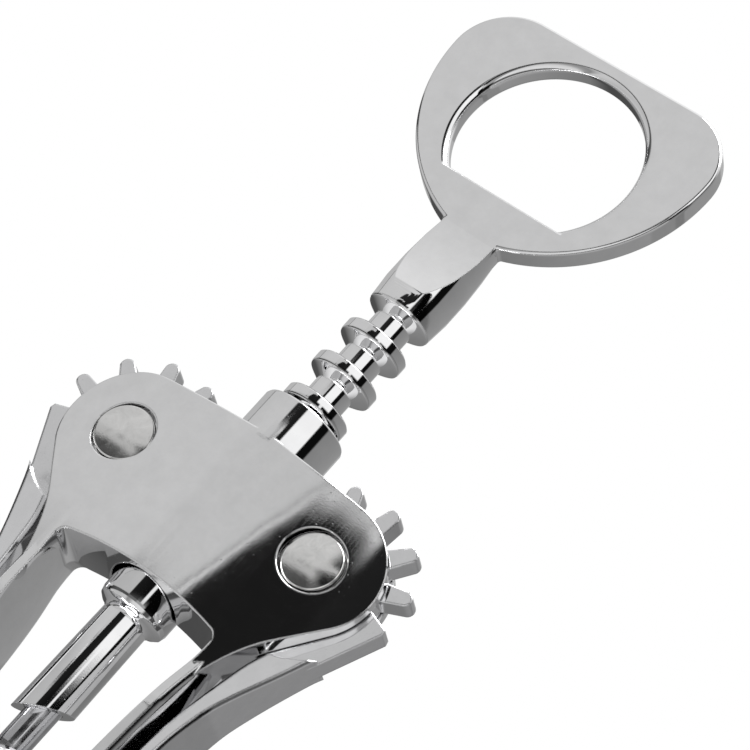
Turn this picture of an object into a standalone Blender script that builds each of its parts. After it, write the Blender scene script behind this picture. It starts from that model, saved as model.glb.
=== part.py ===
"""Lever corkscrew with a bottle-opener head, built as separate pieces.

Units are metres, +Z is up and the front faces -Y.  The origin is the centre of
the bell's rim.  The levers hang down, so the rack stands at the top of its travel.
"""
import math

import bmesh
import bpy
from mathutils import Matrix, Vector

MM = 0.001

# Overall layout
PIN_HEIGHT = 90.0 * MM            # lever pins above the bell's rim
PIN_SPACING = 35.4 * MM           # between the two lever pins
HEAD_TOP = 91.5 * MM              # top of the opener head above the pins
RUNNING_GAP = 0.15 * MM           # radial gap between a pin and what turns on it
RIVET_GAP = 0.2 * MM              # radial gap between a rivet and the plate's holes
FIT_GAP = 0.3 * MM                # gap between pieces that only lie together

# Rack and pinions
PITCH_OFFSET = 4.7 * MM           # rack's pitch line from the spindle's axis
RACK_PITCH = 6.625 * MM           # from ring to ring
FIRST_TOOTH = math.radians(18.0)  # the outermost tooth, from +X, levers down
TOOTH_COUNT = 7
TOOTH_WIDTH = 2.3 * MM            # finger width at the round tip
TOOTH_ROOT_WIDTH = 3.0 * MM
ROOT_CLEARANCE = 2.45 * MM        # from a ring's edge to the tooth roots
PINION_THICKNESS = 3.4 * MM
SLOT_SIDE_GAP = 0.35 * MM         # each side of a pinion in its slot
SLOT_TIP_GAP = 0.4 * MM           # past the tooth tips in the slot
HEEL_STEP = 0.9 * MM              # stop face inside the tooth tips
CORE_RADIUS = 3.1 * MM            # rack between its rings
RING_RADIUS = 5.35 * MM
RING_BAND = 2.1 * MM              # height of a ring's cylindrical band
RING_CONE = 1.2 * MM              # height of the cone under the band
RING_COUNT = 7
RING_EDGE = 0.25 * MM
RACK_LEAD = 2.1 * MM              # from a tooth's middle up to the edge of the ring above it

# Frame casting
PLATE_WALL = 0.95 * MM            # in front of the spindle's bore and behind it
BORE_GAP = 0.25 * MM              # radial gap round the rings
BOSS_GAP = 0.6 * MM               # radial gap round the boss
BORE_LEAD = 0.45 * MM             # chamfer at the bore's top
FACE_RADIUS = 115.0 * MM          # crown of the plate's faces from side to side
FACE_STRIPS = 22
PLATE_TOP = 11.2 * MM             # top edge above the pins, at the middle
LOBE_RADIUS = 10.3 * MM           # round lobe about each pin
LOBE_START = math.radians(85)     # the top edge meets the lobe here, from +X
LOBE_END = math.radians(-38)      # the flank leaves the lobe here
FLANK_IN = 5.25 * MM              # from there to the top of the legs' curve
FLANK_DOWN = 6.7 * MM
LEG_EDGE = 0.5 * MM
LEG_WAIST = 0.7 * MM              # legs' outer face inside the bell's, at the waist
LEG_INSIDE = 7.5 * MM             # solid leg before the window is cut, inside the bell's radius
LEG_OVERLAP = 1.0 * MM            # how far a leg's foot stands in the crown
COLLAR_RADIUS = 7.0 * MM
COLLAR_TOP = 18.1 * MM            # above the pins
COLLAR_EDGE = 0.6 * MM
COLLAR_FOOT = 7.0 * MM            # above the pins, inside the plate
ARCH_TOP = 16.0 * MM              # window's upper corners below the pins
ARCH_RISE = 1.1 * MM              # how much the window's top edge bows up
WINDOW_TOP_WALL = 2.1 * MM        # leg beside the window at its top
WINDOW_WAIST_WALL = 4.3 * MM      # leg beside the window at the waist
WINDOW_CORNER = 1.6 * MM
WINDOW_DRAFT = 1.9 * MM           # parting ridge stands this far into the window
LEG_DEPTH = 14.4 * MM             # front edge to back edge of a leg
BELL_RADIUS = 17.0 * MM
BELL_WALL = 1.8 * MM
BELL_SHOULDER = 3.6 * MM
RIM_LIP = 0.8 * MM                # how far the rim stands out from the bell
RIM_HEIGHT = 2.2 * MM
CROWN_TOP = 21.0 * MM             # floor of the window, above the rim
CROWN_THICKNESS = 5.0 * MM
GUIDE_HOLE_RADIUS = 6.9 * MM

# Handle and spindle casting
HEAD_WIDTH = 47.6 * MM
HEAD_THICKNESS = 3.8 * MM
HEAD_CORNER_RADIUS = 9.5 * MM
HEAD_SIDE_RADIUS = 27.5 * MM
HEAD_EDGE = 0.55 * MM
OPENER_RADIUS = 14.5 * MM
OPENER_BELOW_TOP = 17.65 * MM     # hole's centre below the head's top
OPENER_CHORD = 10.45 * MM         # flat lip below the hole's centre
NECK_HALF_WIDTH = 5.0 * MM        # where the neck meets the head
NECK_RADIUS = 5.7 * MM            # widest part of the neck
BOSS_RADIUS = 5.65 * MM
BOSS_EDGE = 0.6 * MM
BOSS_TOP = 12.0 * MM              # below the pins
BOSS_BOTTOM = 20.6 * MM
STEM_TOP_RADIUS = 3.75 * MM
STEM_END_RADIUS = 4.05 * MM
STEM_END = 38.1 * MM              # below the pins, on the axis
STEM_SLANT = math.radians(28.0)   # slope of the stem's cut end
STEM_SLANT_TURN = math.radians(26.0)

# Worm
SHANK_RADIUS = 2.35 * MM
SHANK_SEAT = 12.0 * MM            # length cast into the stem
SHANK_LENGTH = 6.5 * MM           # plain length below the stem
SHANK_GAP = 0.05 * MM             # radial gap between the shank and the stem
CORE_THINNING = 0.5 * MM          # the worm's core is this much thinner than the shank
WORM_RADIUS = 4.05 * MM
WORM_PITCH = 8.4 * MM
WORM_TIP_HEIGHT = 9.5 * MM        # of the point above the bell's rim
WORM_TAPER = 9.0 * MM             # length of the point

# Levers
ARM_SHOULDER = 14.2 * MM          # radius about the pin where the thick arm starts
ARM_TOP_DEPTH = 6.8 * MM          # width of the arm, front to back, at its top
ARM_END_DEPTH = 16.0 * MM
ARM_THICKNESS = 2.4 * MM
ARM_END_HEIGHT = 9.0 * MM         # of the arm's end above the bell's rim
ARM_EDGE = 0.5 * MM
ARM_FLARE = 4.6 * MM              # how far the end bends outwards
LEG_CLEARANCE = 0.7 * MM          # from the legs' waist to the arm

# Rivets and guide
RIVET_RADIUS = 2.5 * MM
RIVET_HEAD_RADIUS = 4.55 * MM
RIVET_HEAD_HEIGHT = 1.2 * MM
RIVET_DOME = 0.25 * MM
RIVET_RECESS = 0.3 * MM           # head's rim below the plate's face
GUIDE_WALL = 2.15 * MM
GUIDE_FLANGE = 1.1 * MM
GUIDE_LIP = 0.5 * MM

ROUND_STEPS = 40                  # sides of the larger round pieces
SMALL_STEPS = 32                  # sides of pins and holes

HALF_SPACING = PIN_SPACING / 2
PITCH_RADIUS = HALF_SPACING - PITCH_OFFSET
TOOTH_STEP = RACK_PITCH / PITCH_RADIUS  # angle between teeth
PINION_ROOT_RADIUS = HALF_SPACING - RING_RADIUS - ROOT_CLEARANCE
TIP_RADIUS = HALF_SPACING - CORE_RADIUS - 0.8 * FIT_GAP
BORE_RADIUS = max(RING_RADIUS, NECK_RADIUS) + BORE_GAP
PLATE_DEPTH = 2 * (BORE_RADIUS + PLATE_WALL)
HALF_PLATE = PLATE_DEPTH / 2
FACE_DROP = FACE_RADIUS - math.sqrt(FACE_RADIUS ** 2 - HALF_SPACING ** 2)
SEAT_HALF = HALF_PLATE - FACE_DROP  # half the plate's depth at a pin
RECESS_RADIUS = RIVET_HEAD_RADIUS + FIT_GAP
RECESS_FLOOR = SEAT_HALF - RIVET_RECESS - RIVET_HEAD_HEIGHT - FIT_GAP
BELL_BORE = BELL_RADIUS - BELL_WALL
RIM_RADIUS = BELL_RADIUS + RIM_LIP
WORM_TIP = PIN_HEIGHT - WORM_TIP_HEIGHT
ARM_LENGTH = PIN_HEIGHT - ARM_END_HEIGHT
WINDOW_TOP = PIN_HEIGHT - ARCH_TOP
CROWN_BOTTOM = CROWN_TOP - CROWN_THICKNESS
NECK_END = PITCH_RADIUS * (math.pi - FIRST_TOOTH) + RACK_LEAD


def clear_scene():
    for item in list(bpy.data.objects):
        bpy.data.objects.remove(item, do_unlink=True)


def make_material(name, colour, metallic, roughness):
    material = bpy.data.materials.new(name)
    material.use_nodes = True
    shader = material.node_tree.nodes["Principled BSDF"]
    shader.inputs["Base Color"].default_value = (*colour, 1.0)
    shader.inputs["Metallic"].default_value = metallic
    shader.inputs["Roughness"].default_value = roughness
    material.diffuse_color = (*colour, 1.0)
    return material


def make_object(name, mesh_data, origin=(0, 0, 0), material=None):
    """Turn a bmesh in world coordinates into an object whose origin is given."""
    bmesh.ops.remove_doubles(mesh_data, verts=mesh_data.verts, dist=1e-7)
    bmesh.ops.recalc_face_normals(mesh_data, faces=mesh_data.faces)
    mesh_data.transform(Matrix.Translation(-Vector(origin)))
    mesh = bpy.data.meshes.new(name)
    mesh_data.to_mesh(mesh)
    mesh_data.free()
    item = bpy.data.objects.new(name, mesh)
    item.location = origin
    bpy.context.collection.objects.link(item)
    if material:
        mesh.materials.append(material)
    return item


def shade(item, angle=32):
    item.data.shade_smooth()
    item.data.set_sharp_from_angle(angle=math.radians(angle))


def cut(target, tool, operation="DIFFERENCE"):
    """Apply one exact Boolean and remove its tool."""
    modifier = target.modifiers.new(operation.lower(), "BOOLEAN")
    modifier.operation = operation
    modifier.solver = "EXACT"
    modifier.object = tool
    with bpy.context.temp_override(object=target, active_object=target):
        bpy.ops.object.modifier_apply(modifier=modifier.name)
    bpy.data.objects.remove(tool, do_unlink=True)


def arc(centre_x, centre_z, radius, start, end, steps):
    """Points on an arc in the XZ plane; the angles are in radians."""
    points = []
    for step in range(steps + 1):
        angle = start + (end - start) * step / steps
        points.append((centre_x + radius * math.cos(angle), centre_z + radius * math.sin(angle)))
    return points


def bezier(start, control, end, steps):
    points = []
    for step in range(steps + 1):
        t = step / steps
        a, b, c = (1 - t) ** 2, 2 * t * (1 - t), t * t
        points.append(tuple(a * s + b * m + c * e for s, m, e in zip(start, control, end)))
    return points


def mirrored(half):
    """Close a right-hand outline, listed from top to bottom, with its mirror image."""
    left = [(-x, z) for x, z in reversed(half) if x > 1e-6]
    return half + left


def blend(table, position):
    """Linear look-up in rows of (position, value, ...), sorted by falling position."""
    for upper, lower in zip(table, table[1:]):
        if position >= lower[0]:
            share = (upper[0] - position) / (upper[0] - lower[0])
            return [u + (v - u) * share for u, v in zip(upper[1:], lower[1:])]
    return list(table[-1][1:])


def prism(outline, depth, edge=0.0, edge_steps=2):
    """Extrude an XZ outline to +-depth/2 along Y, with rounded front and back edges."""
    mesh = bmesh.new()
    front = [mesh.verts.new((x, -depth / 2, z)) for x, z in outline]
    face = mesh.faces.new(front)
    extruded = bmesh.ops.extrude_face_region(mesh, geom=[face])
    moved = [v for v in extruded["geom"] if isinstance(v, bmesh.types.BMVert)]
    bmesh.ops.translate(mesh, verts=moved, vec=(0, depth, 0))
    if edge:
        round_edges(mesh, edge, edge_steps, depth / 2)
    return mesh


def round_edges(mesh, size, steps, half_depth):
    """Bevel the edges that lie in the planes y = -half_depth and y = +half_depth."""
    mesh.normal_update()
    chosen = []
    for edge in mesh.edges:
        flat = all(abs(abs(v.co.y) - half_depth) < 1e-8 for v in edge.verts)
        if flat and len(edge.link_faces) == 2 and edge.calc_face_angle(0) > math.radians(50):
            chosen.append(edge)
    bmesh.ops.bevel(mesh, geom=chosen, offset=size, segments=steps, profile=0.5, affect="EDGES")


def lathe(profile, steps, axis="Z", centre=(0, 0, 0)):
    """Spin a closed (radius, height) profile into a solid about an axis through centre."""
    mesh = bmesh.new()
    rings = []
    for radius, height in profile:
        if radius < 1e-7:
            rings.append([mesh.verts.new((0, 0, height))])
            continue
        ring = []
        for step in range(steps):
            angle = 2 * math.pi * step / steps
            ring.append(mesh.verts.new((radius * math.cos(angle), radius * math.sin(angle), height)))
        rings.append(ring)
    pairs = list(zip(rings, rings[1:]))
    if len(rings[0]) > 1:
        pairs.append((rings[-1], rings[0]))
    for lower, upper in pairs:
        join_rings(mesh, lower, upper)
    if axis == "Y":
        mesh.transform(Matrix.Rotation(math.radians(90), 4, "X"))
    mesh.transform(Matrix.Translation(centre))
    return mesh


def join_rings(mesh, lower, upper):
    if len(lower) == 1 and len(upper) == 1:
        return
    count = max(len(lower), len(upper))
    for i in range(count):
        j = (i + 1) % count
        corners = [lower[i % len(lower)], lower[j % len(lower)], upper[j % len(upper)], upper[i % len(upper)]]
        unique = [v for n, v in enumerate(corners) if v not in corners[:n]]
        mesh.faces.new(unique)


def loft(sections):
    """Skin a row of equal-length closed sections and cap both ends."""
    mesh = bmesh.new()
    rings = [[mesh.verts.new(point) for point in section] for section in sections]
    for lower, upper in zip(rings, rings[1:]):
        join_rings(mesh, lower, upper)
    mesh.faces.new(rings[0])
    mesh.faces.new(rings[-1])
    return mesh


def cylinder(radius, start, end, steps=SMALL_STEPS, axis="Z", centre=(0, 0, 0)):
    return lathe([(0, start), (radius, start), (radius, end), (0, end)], steps, axis, centre)


# ---------------------------------------------------------------- frame

def plate_outline():
    """Front view of the casting above the legs."""
    points = [(0, PLATE_TOP)]
    points += arc(HALF_SPACING, 0, LOBE_RADIUS, LOBE_START, LOBE_END, 16)
    start = (points[-1][0] - FLANK_IN, points[-1][1] - FLANK_DOWN)
    end = (BELL_RADIUS - 2.4 * MM, -ARCH_TOP - 15.2 * MM)
    bend = (BELL_RADIUS - 1.2 * MM, -ARCH_TOP - 3.6 * MM)
    points += bezier(start, bend, end, 8)
    points.append((0, end[1]))
    return [(x, PIN_HEIGHT + z) for x, z in mirrored(points)]


def face_half_depth(x):
    """Half the plate's depth at a distance from its middle."""
    return HALF_PLATE - FACE_RADIUS + math.sqrt(FACE_RADIUS ** 2 - x ** 2)


def make_crown():
    """Solid between the plate's two crowned faces."""
    reach = HALF_SPACING + 2 * LOBE_RADIUS
    front = []
    for strip in range(FACE_STRIPS + 1):
        x = reach * (2 * strip / FACE_STRIPS - 1)
        front.append((x, -face_half_depth(x)))
    outline = front + [(x, -y) for x, y in reversed(front)]
    levels = (PIN_HEIGHT - PIN_SPACING, PIN_HEIGHT + PIN_SPACING)
    return loft([[(x, y, z) for x, y in outline] for z in levels])


def make_plate(material):
    """Crowned plate with a recess for each rivet head, front and back."""
    plate = make_object("frame", prism(plate_outline(), PLATE_DEPTH + FIT_GAP), material=material)
    cut(plate, make_object("crown", make_crown()), "INTERSECT")
    for side in (-1, 1):
        centre = (side * HALF_SPACING, 0, PIN_HEIGHT)
        for start, end in ((-PLATE_DEPTH, -RECESS_FLOOR), (RECESS_FLOOR, PLATE_DEPTH)):
            recess = cylinder(RECESS_RADIUS, start, end, ROUND_STEPS, "Y", centre)
            cut(plate, make_object("recess", recess))
    return plate


def leg_radius(height):
    """Outer radius of the legs: a gentle waist between the bell and the plate."""
    waist = BELL_RADIUS - LEG_WAIST
    rows = [
        (WINDOW_TOP + 8 * MM, BELL_RADIUS + 0.2 * MM),
        (WINDOW_TOP - 11 * MM, BELL_RADIUS),
        (WINDOW_TOP - 18 * MM, waist + 0.3 * MM),
        (WINDOW_TOP - 26 * MM, waist),
        (CROWN_TOP + 12 * MM, waist),
        (CROWN_TOP + 4 * MM, waist + 0.25 * MM),
        (CROWN_BOTTOM, waist + 0.3 * MM),
    ]
    return blend(rows, height)[0]


def leg_half_depth(height):
    """The legs are flush inside the plate and swell to their full depth below it."""
    hidden = face_half_depth(BELL_RADIUS) - FIT_GAP
    full = LEG_DEPTH / 2
    swell = WINDOW_TOP - 14 * MM
    rows = [(WINDOW_TOP + 8 * MM, hidden), (WINDOW_TOP, hidden), (swell, full), (CROWN_BOTTOM, full)]
    return blend(rows, height)[0]


def make_legs(side):
    """One leg, from inside the crown to inside the plate, still solid on its inner side."""
    top = WINDOW_TOP + 6 * MM
    low = CROWN_BOTTOM + LEG_OVERLAP
    sections = []
    count = 14
    for row in range(count + 1):
        height = low + (top - low) * row / count
        radius = leg_radius(height)
        half = leg_half_depth(height)
        reach = math.asin((half - LEG_EDGE) / radius)
        outer = []
        for step in range(9):
            angle = -reach + 2 * reach * step / 8
            outer.append((radius * math.cos(angle), radius * math.sin(angle)))
        front = (outer[0][0] - LEG_EDGE, -half)
        back = (outer[-1][0] - LEG_EDGE, half)
        inner = BELL_RADIUS - LEG_INSIDE
        plan = [(inner, -half), front] + outer + [back, (inner, half)]
        sections.append([(side * x, y, height) for x, y in plan])
    return loft(sections)


def window_outline(inset):
    """Window between the legs; inset moves its sides and top into the opening."""
    top = WINDOW_TOP - inset
    waist = BELL_RADIUS - WINDOW_WAIST_WALL - inset
    upper = BELL_RADIUS - WINDOW_TOP_WALL - inset
    corner = arc(upper - WINDOW_CORNER, top - WINDOW_CORNER, WINDOW_CORNER, math.pi / 2, 0, 4)
    side = [(upper - 1.0 * MM, top - 11 * MM), (waist + 0.4 * MM, top - 19 * MM),
            (waist, top - 28 * MM), (waist, CROWN_TOP)]
    bow = [(0, top + ARCH_RISE), (0.45 * upper, top + 0.75 * ARCH_RISE)]
    return mirrored(bow + corner + side)


def make_window_cutter():
    reach = BELL_RADIUS
    slope = WINDOW_DRAFT / HALF_PLATE
    sections = []
    for y in (-reach, 0, reach):
        inset = WINDOW_DRAFT - slope * abs(y)
        inset = max(inset, -2.6 * MM)
        sections.append([(x, y, z) for x, z in window_outline(inset)])
    return loft(sections)


def make_bell():
    shoulder = [(BELL_RADIUS - BELL_SHOULDER + x, CROWN_TOP - BELL_SHOULDER + z)
                for x, z in arc(0, 0, BELL_SHOULDER, math.pi / 2, 0, 6)]
    outside = [(0, CROWN_TOP)] + shoulder
    outside += [(BELL_RADIUS, RIM_HEIGHT + 1.2 * MM), (RIM_RADIUS, RIM_HEIGHT), (RIM_RADIUS, 0.4 * MM)]
    outside += [(RIM_RADIUS - 0.4 * MM, 0)]
    inside = [(BELL_BORE + 0.7 * MM, 0), (BELL_BORE, 2.0 * MM)]
    inside += [(BELL_BORE, CROWN_BOTTOM - 1.5 * MM), (BELL_BORE - 1.5 * MM, CROWN_BOTTOM)]
    inside += [(0, CROWN_BOTTOM)]
    return lathe(outside + inside, ROUND_STEPS)


def make_collar():
    base = PIN_HEIGHT + COLLAR_FOOT
    top = PIN_HEIGHT + COLLAR_TOP
    edge = COLLAR_EDGE
    profile = [(0, base), (COLLAR_RADIUS, base), (COLLAR_RADIUS, top - edge),
               (COLLAR_RADIUS - edge / 3, top - edge / 3), (COLLAR_RADIUS - edge, top), (0, top)]
    return lathe(profile, ROUND_STEPS)


def make_bore():
    """Round way through the casting for the rack, wider below for the boss."""
    low = WINDOW_TOP - 8 * MM
    wide = BOSS_RADIUS + BOSS_GAP
    change = PIN_HEIGHT - BOSS_TOP + 2.5 * MM
    top = PIN_HEIGHT + COLLAR_TOP
    mouth = BORE_RADIUS + BORE_LEAD
    profile = [(0, low), (wide, low), (wide, change), (BORE_RADIUS, change + 0.5 * MM),
               (BORE_RADIUS, top + 0.1 * MM - BORE_LEAD), (mouth, top + 0.1 * MM), (mouth, top + 1 * MM),
               (0, top + 1 * MM)]
    return lathe(profile, ROUND_STEPS)


def make_rivet_hole(side):
    centre = (side * HALF_SPACING, 0, PIN_HEIGHT)
    return cylinder(RIVET_RADIUS + RIVET_GAP, -PLATE_DEPTH, PLATE_DEPTH, SMALL_STEPS, "Y", centre)


def make_slot(side):
    """Room for a lever's pinion between the front and back walls."""
    half = PINION_THICKNESS / 2 + SLOT_SIDE_GAP
    radius = TIP_RADIUS + SLOT_TIP_GAP
    return cylinder(radius, -half, half, ROUND_STEPS, "Y", (side * HALF_SPACING, 0, PIN_HEIGHT))


def make_frame(material):
    frame = make_plate(material)
    for side in (-1, 1):
        cut(frame, make_object("leg", make_legs(side)), "UNION")
    cut(frame, make_object("window", make_window_cutter()))
    cut(frame, make_object("bell", make_bell()), "UNION")
    cut(frame, make_object("collar", make_collar()), "UNION")
    cut(frame, make_object("bore", make_bore()))
    guide_hole = cylinder(GUIDE_HOLE_RADIUS, CROWN_BOTTOM - 1 * MM, CROWN_TOP + 1 * MM, ROUND_STEPS)
    cut(frame, make_object("guide_hole", guide_hole))
    for side in (-1, 1):
        cut(frame, make_object("slot", make_slot(side)))
        cut(frame, make_object("rivet_hole", make_rivet_hole(side)))
    shade(frame)
    return frame


# ---------------------------------------------------------------- handle and spindle

def head_outline():
    top = PIN_HEIGHT + HEAD_TOP
    widest = top - HEAD_CORNER_RADIUS
    half = HEAD_WIDTH / 2
    centre = half - HEAD_SIDE_RADIUS
    reach = math.acos((NECK_HALF_WIDTH - centre) / HEAD_SIDE_RADIUS)
    points = [(0, top)]
    points += arc(half - HEAD_CORNER_RADIUS, widest, HEAD_CORNER_RADIUS, math.pi / 2, 0, 8)
    points += arc(centre, widest, HEAD_SIDE_RADIUS, 0, -reach, 12)[1:]
    points.append((points[-1][0], points[-1][1] - 2 * MM))
    return mirrored(points)


def opener_outline():
    """Round hole with a flat lip on the neck's side."""
    centre = PIN_HEIGHT + HEAD_TOP - OPENER_BELOW_TOP
    start = -math.asin(OPENER_CHORD / OPENER_RADIUS)
    return arc(0, centre, OPENER_RADIUS, start, math.pi - start, 36)


def make_head():
    """Opener plate with rounded outer and inner edges."""
    mesh = bmesh.new()
    edges = []
    for outline in (head_outline(), opener_outline()):
        loop = [mesh.verts.new((x, -HEAD_THICKNESS / 2, z)) for x, z in outline]
        edges += [mesh.edges.new((a, b)) for a, b in zip(loop, loop[1:] + loop[:1])]
    filled = bmesh.ops.triangle_fill(mesh, edges=edges, use_beauty=True)
    faces = [f for f in filled["geom"] if isinstance(f, bmesh.types.BMFace)]
    extruded = bmesh.ops.extrude_face_region(mesh, geom=faces)
    moved = [v for v in extruded["geom"] if isinstance(v, bmesh.types.BMVert)]
    bmesh.ops.translate(mesh, verts=moved, vec=(0, HEAD_THICKNESS, 0))
    bmesh.ops.recalc_face_normals(mesh, faces=mesh.faces)
    round_edges(mesh, HEAD_EDGE, 2, HEAD_THICKNESS / 2)
    return mesh


def neck_top():
    centre = HEAD_WIDTH / 2 - HEAD_SIDE_RADIUS
    drop = math.sqrt(HEAD_SIDE_RADIUS ** 2 - (NECK_HALF_WIDTH - centre) ** 2)
    return HEAD_TOP - HEAD_CORNER_RADIUS - drop


def make_neck():
    """Round neck, before its front and back are scooped down to the head's thickness."""
    low, high = NECK_END, neck_top()
    length = high - low
    profile = [(0, low + 0.3 * MM), (RING_RADIUS, low + 0.3 * MM), (NECK_RADIUS, low + 0.25 * length),
               (NECK_RADIUS, low + 0.5 * length), (NECK_RADIUS - 0.25 * MM, low + 0.75 * length),
               (NECK_HALF_WIDTH, high), (NECK_HALF_WIDTH - 0.3 * MM, high + 2.5 * MM), (0, high + 2.5 * MM)]
    return lathe([(r, PIN_HEIGHT + z) for r, z in profile], ROUND_STEPS)


def make_scoop():
    """Solid between the two scooped faces; the neck is kept where it meets this."""
    low, high = NECK_END, neck_top()
    face = HEAD_THICKNESS / 2
    full = NECK_RADIUS + 0.5 * MM
    curve = bezier((full, low - FIT_GAP), (face + 1.4 * MM, low + 0.5 * (high - low)), (face, high), 8)
    half = [(full, low - 2 * MM)] + curve + [(face, high + 6 * MM)]
    outline = half + [(-y, z) for y, z in reversed(half)]
    reach = 2 * NECK_RADIUS
    return loft([[(x, y, PIN_HEIGHT + z) for y, z in outline] for x in (-reach, reach)])


def rack_profile():
    """Radius and height, from the pins, of the boss, the rings and the core up to the neck."""
    points = [(0, -STEM_END - 6 * MM), (STEM_END_RADIUS, -STEM_END - 6 * MM)]
    points += [(STEM_TOP_RADIUS, -BOSS_BOTTOM - 0.5 * MM), (STEM_TOP_RADIUS + 0.35 * MM, -BOSS_BOTTOM)]
    points += [(BOSS_RADIUS + x, -BOSS_BOTTOM + z) for x, z in
               ((-0.9 * MM, 0.25 * MM), (-0.25 * MM, 0.8 * MM), (0, 1.7 * MM))]
    points += [(BOSS_RADIUS, -BOSS_TOP - BOSS_EDGE), (BOSS_RADIUS - BOSS_EDGE, -BOSS_TOP)]
    points.append((CORE_RADIUS, -BOSS_TOP))
    for number in range(RING_COUNT):
        low = NECK_END - (RING_COUNT - number) * RACK_PITCH
        points += ring_underside(low)
        points += [(RING_RADIUS, low + RING_BAND - RING_EDGE), (RING_RADIUS - RING_EDGE, low + RING_BAND),
                   (CORE_RADIUS, low + RING_BAND + 0.1 * MM)]
    points += ring_underside(NECK_END)
    points += [(RING_RADIUS - 0.1 * MM, NECK_END + 1.5 * MM), (0, NECK_END + 1.5 * MM)]
    return points


def ring_underside(low):
    return [(CORE_RADIUS, low - RING_CONE), (RING_RADIUS - 0.45 * MM, low - 0.2 * MM),
            (RING_RADIUS - 0.1 * MM, low + 0.05 * MM), (RING_RADIUS, low + 0.4 * MM)]


def make_rack():
    mesh = lathe([(r, PIN_HEIGHT + z) for r, z in rack_profile()], SMALL_STEPS)
    tilt = Vector((-math.sin(STEM_SLANT), 0, math.cos(STEM_SLANT)))
    tilt.rotate(Matrix.Rotation(STEM_SLANT_TURN, 3, "Z"))
    geometry = list(mesh.verts) + list(mesh.edges) + list(mesh.faces)
    sliced = bmesh.ops.bisect_plane(mesh, geom=geometry, plane_co=(0, 0, PIN_HEIGHT - STEM_END),
                                    plane_no=tilt, clear_inner=True)
    rim = [e for e in sliced["geom_cut"] if isinstance(e, bmesh.types.BMEdge)]
    bmesh.ops.edgeloop_fill(mesh, edges=rim)
    return mesh


def make_handle(material):
    handle = make_object("handle_spindle", make_head(), material=material)
    neck = make_object("neck", make_neck())
    cut(neck, make_object("scoop", make_scoop()), "INTERSECT")
    cut(handle, neck, "UNION")
    cut(handle, make_object("rack", make_rack()), "UNION")
    seat_top = PIN_HEIGHT - STEM_END + SHANK_SEAT + FIT_GAP
    seat = cylinder(SHANK_RADIUS + SHANK_GAP, PIN_HEIGHT - STEM_END - 8 * MM, seat_top)
    cut(handle, make_object("seat", seat))
    shade(handle)
    return handle


# ---------------------------------------------------------------- worm

def worm_section(height):
    """Closed section of the worm at a height below the pins, as (radius, angle) pairs."""
    start = STEM_END + SHANK_LENGTH
    below = height - start
    left = WORM_TIP - height
    core = SHANK_RADIUS
    fin = 0.0
    if below > 0:
        core = SHANK_RADIUS - CORE_THINNING * min(1.0, below / (6 * MM))
        grow = min(1.0, below / (0.75 * WORM_PITCH))
        fin = (WORM_RADIUS - core) * grow
    if left < WORM_TAPER:
        share = max(left / WORM_TAPER, 0.0)
        core *= 0.08 + 0.92 * share
        fin *= share ** 0.6
    turn = 2 * math.pi * max(below, 0.0) / WORM_PITCH
    shape = ((-180, 0), (-150, 0), (-120, 0), (-90, 0), (-62, 0.05), (-40, 0.22), (-20, 0.62), (-6, 0.98),
             (6, 0.98), (20, 0.62), (40, 0.22), (62, 0.05), (90, 0), (120, 0), (150, 0))
    return [(core + fin * rise, math.radians(angle) + turn) for angle, rise in shape]


def make_worm(material):
    first = STEM_END - SHANK_SEAT
    start = STEM_END + SHANK_LENGTH
    heights = [first, start]
    step = WORM_PITCH / 12
    while heights[-1] + step < WORM_TIP:
        heights.append(heights[-1] + step)
    heights.append(WORM_TIP)
    sections = []
    for height in heights:
        z = PIN_HEIGHT - height
        sections.append([(r * math.cos(a), -r * math.sin(a), z) for r, a in worm_section(height)])
    worm = make_object("worm", loft(sections), material=material)
    shade(worm, 50)
    return worm


# ---------------------------------------------------------------- levers

def tooth(angle):
    """Outline of one finger tooth about the pin, listed clockwise."""
    tip_centre = TIP_RADIUS - TOOTH_WIDTH / 2
    half_root = TOOTH_ROOT_WIDTH / 2
    local = [(PINION_ROOT_RADIUS * math.cos(half_root / PINION_ROOT_RADIUS), half_root)]
    local += [(tip_centre + x, z) for x, z in arc(0, 0, TOOTH_WIDTH / 2, math.pi / 2, -math.pi / 2, 6)]
    local += [(local[0][0], -half_root)]
    cosine, sine = math.cos(angle), math.sin(angle)
    return [(x * cosine - z * sine, x * sine + z * cosine) for x, z in local]


def pinion_outline():
    """Right-hand pinion with its heel and the web into the arm, from the pin, clockwise."""
    points = []
    floor = 0.4 * (TOOTH_STEP / 2 - TOOTH_ROOT_WIDTH / 2 / PINION_ROOT_RADIUS)
    for number in reversed(range(TOOTH_COUNT)):
        angle = FIRST_TOOTH + number * TOOTH_STEP
        points += tooth(angle)
        if number:
            middle = angle - TOOTH_STEP / 2
            points += arc(0, 0, PINION_ROOT_RADIUS, middle + floor, middle - floor, 1)
    heel = TIP_RADIUS - HEEL_STEP
    points += arc(0, 0, PINION_ROOT_RADIUS, math.radians(5), math.radians(0), 1)
    points += [(heel, -1.2 * MM), (heel + 0.2 * MM, -2.0 * MM)]
    shoulder = ARM_SHOULDER + 0.3 * MM
    points += [(shoulder * math.cos(math.radians(-51)), shoulder * math.sin(math.radians(-51)))]
    points += [(6.3 * MM, -ARM_SHOULDER - 2.3 * MM), (3.3 * MM, -ARM_SHOULDER - 3.6 * MM)]
    points += [(2.9 * MM, -ARM_SHOULDER - 0.3 * MM)]
    last = FIRST_TOOTH + (TOOTH_COUNT - 1) * TOOTH_STEP + 0.2
    points += arc(0, 0, PINION_ROOT_RADIUS, math.radians(277), last, 7)
    return points


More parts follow.
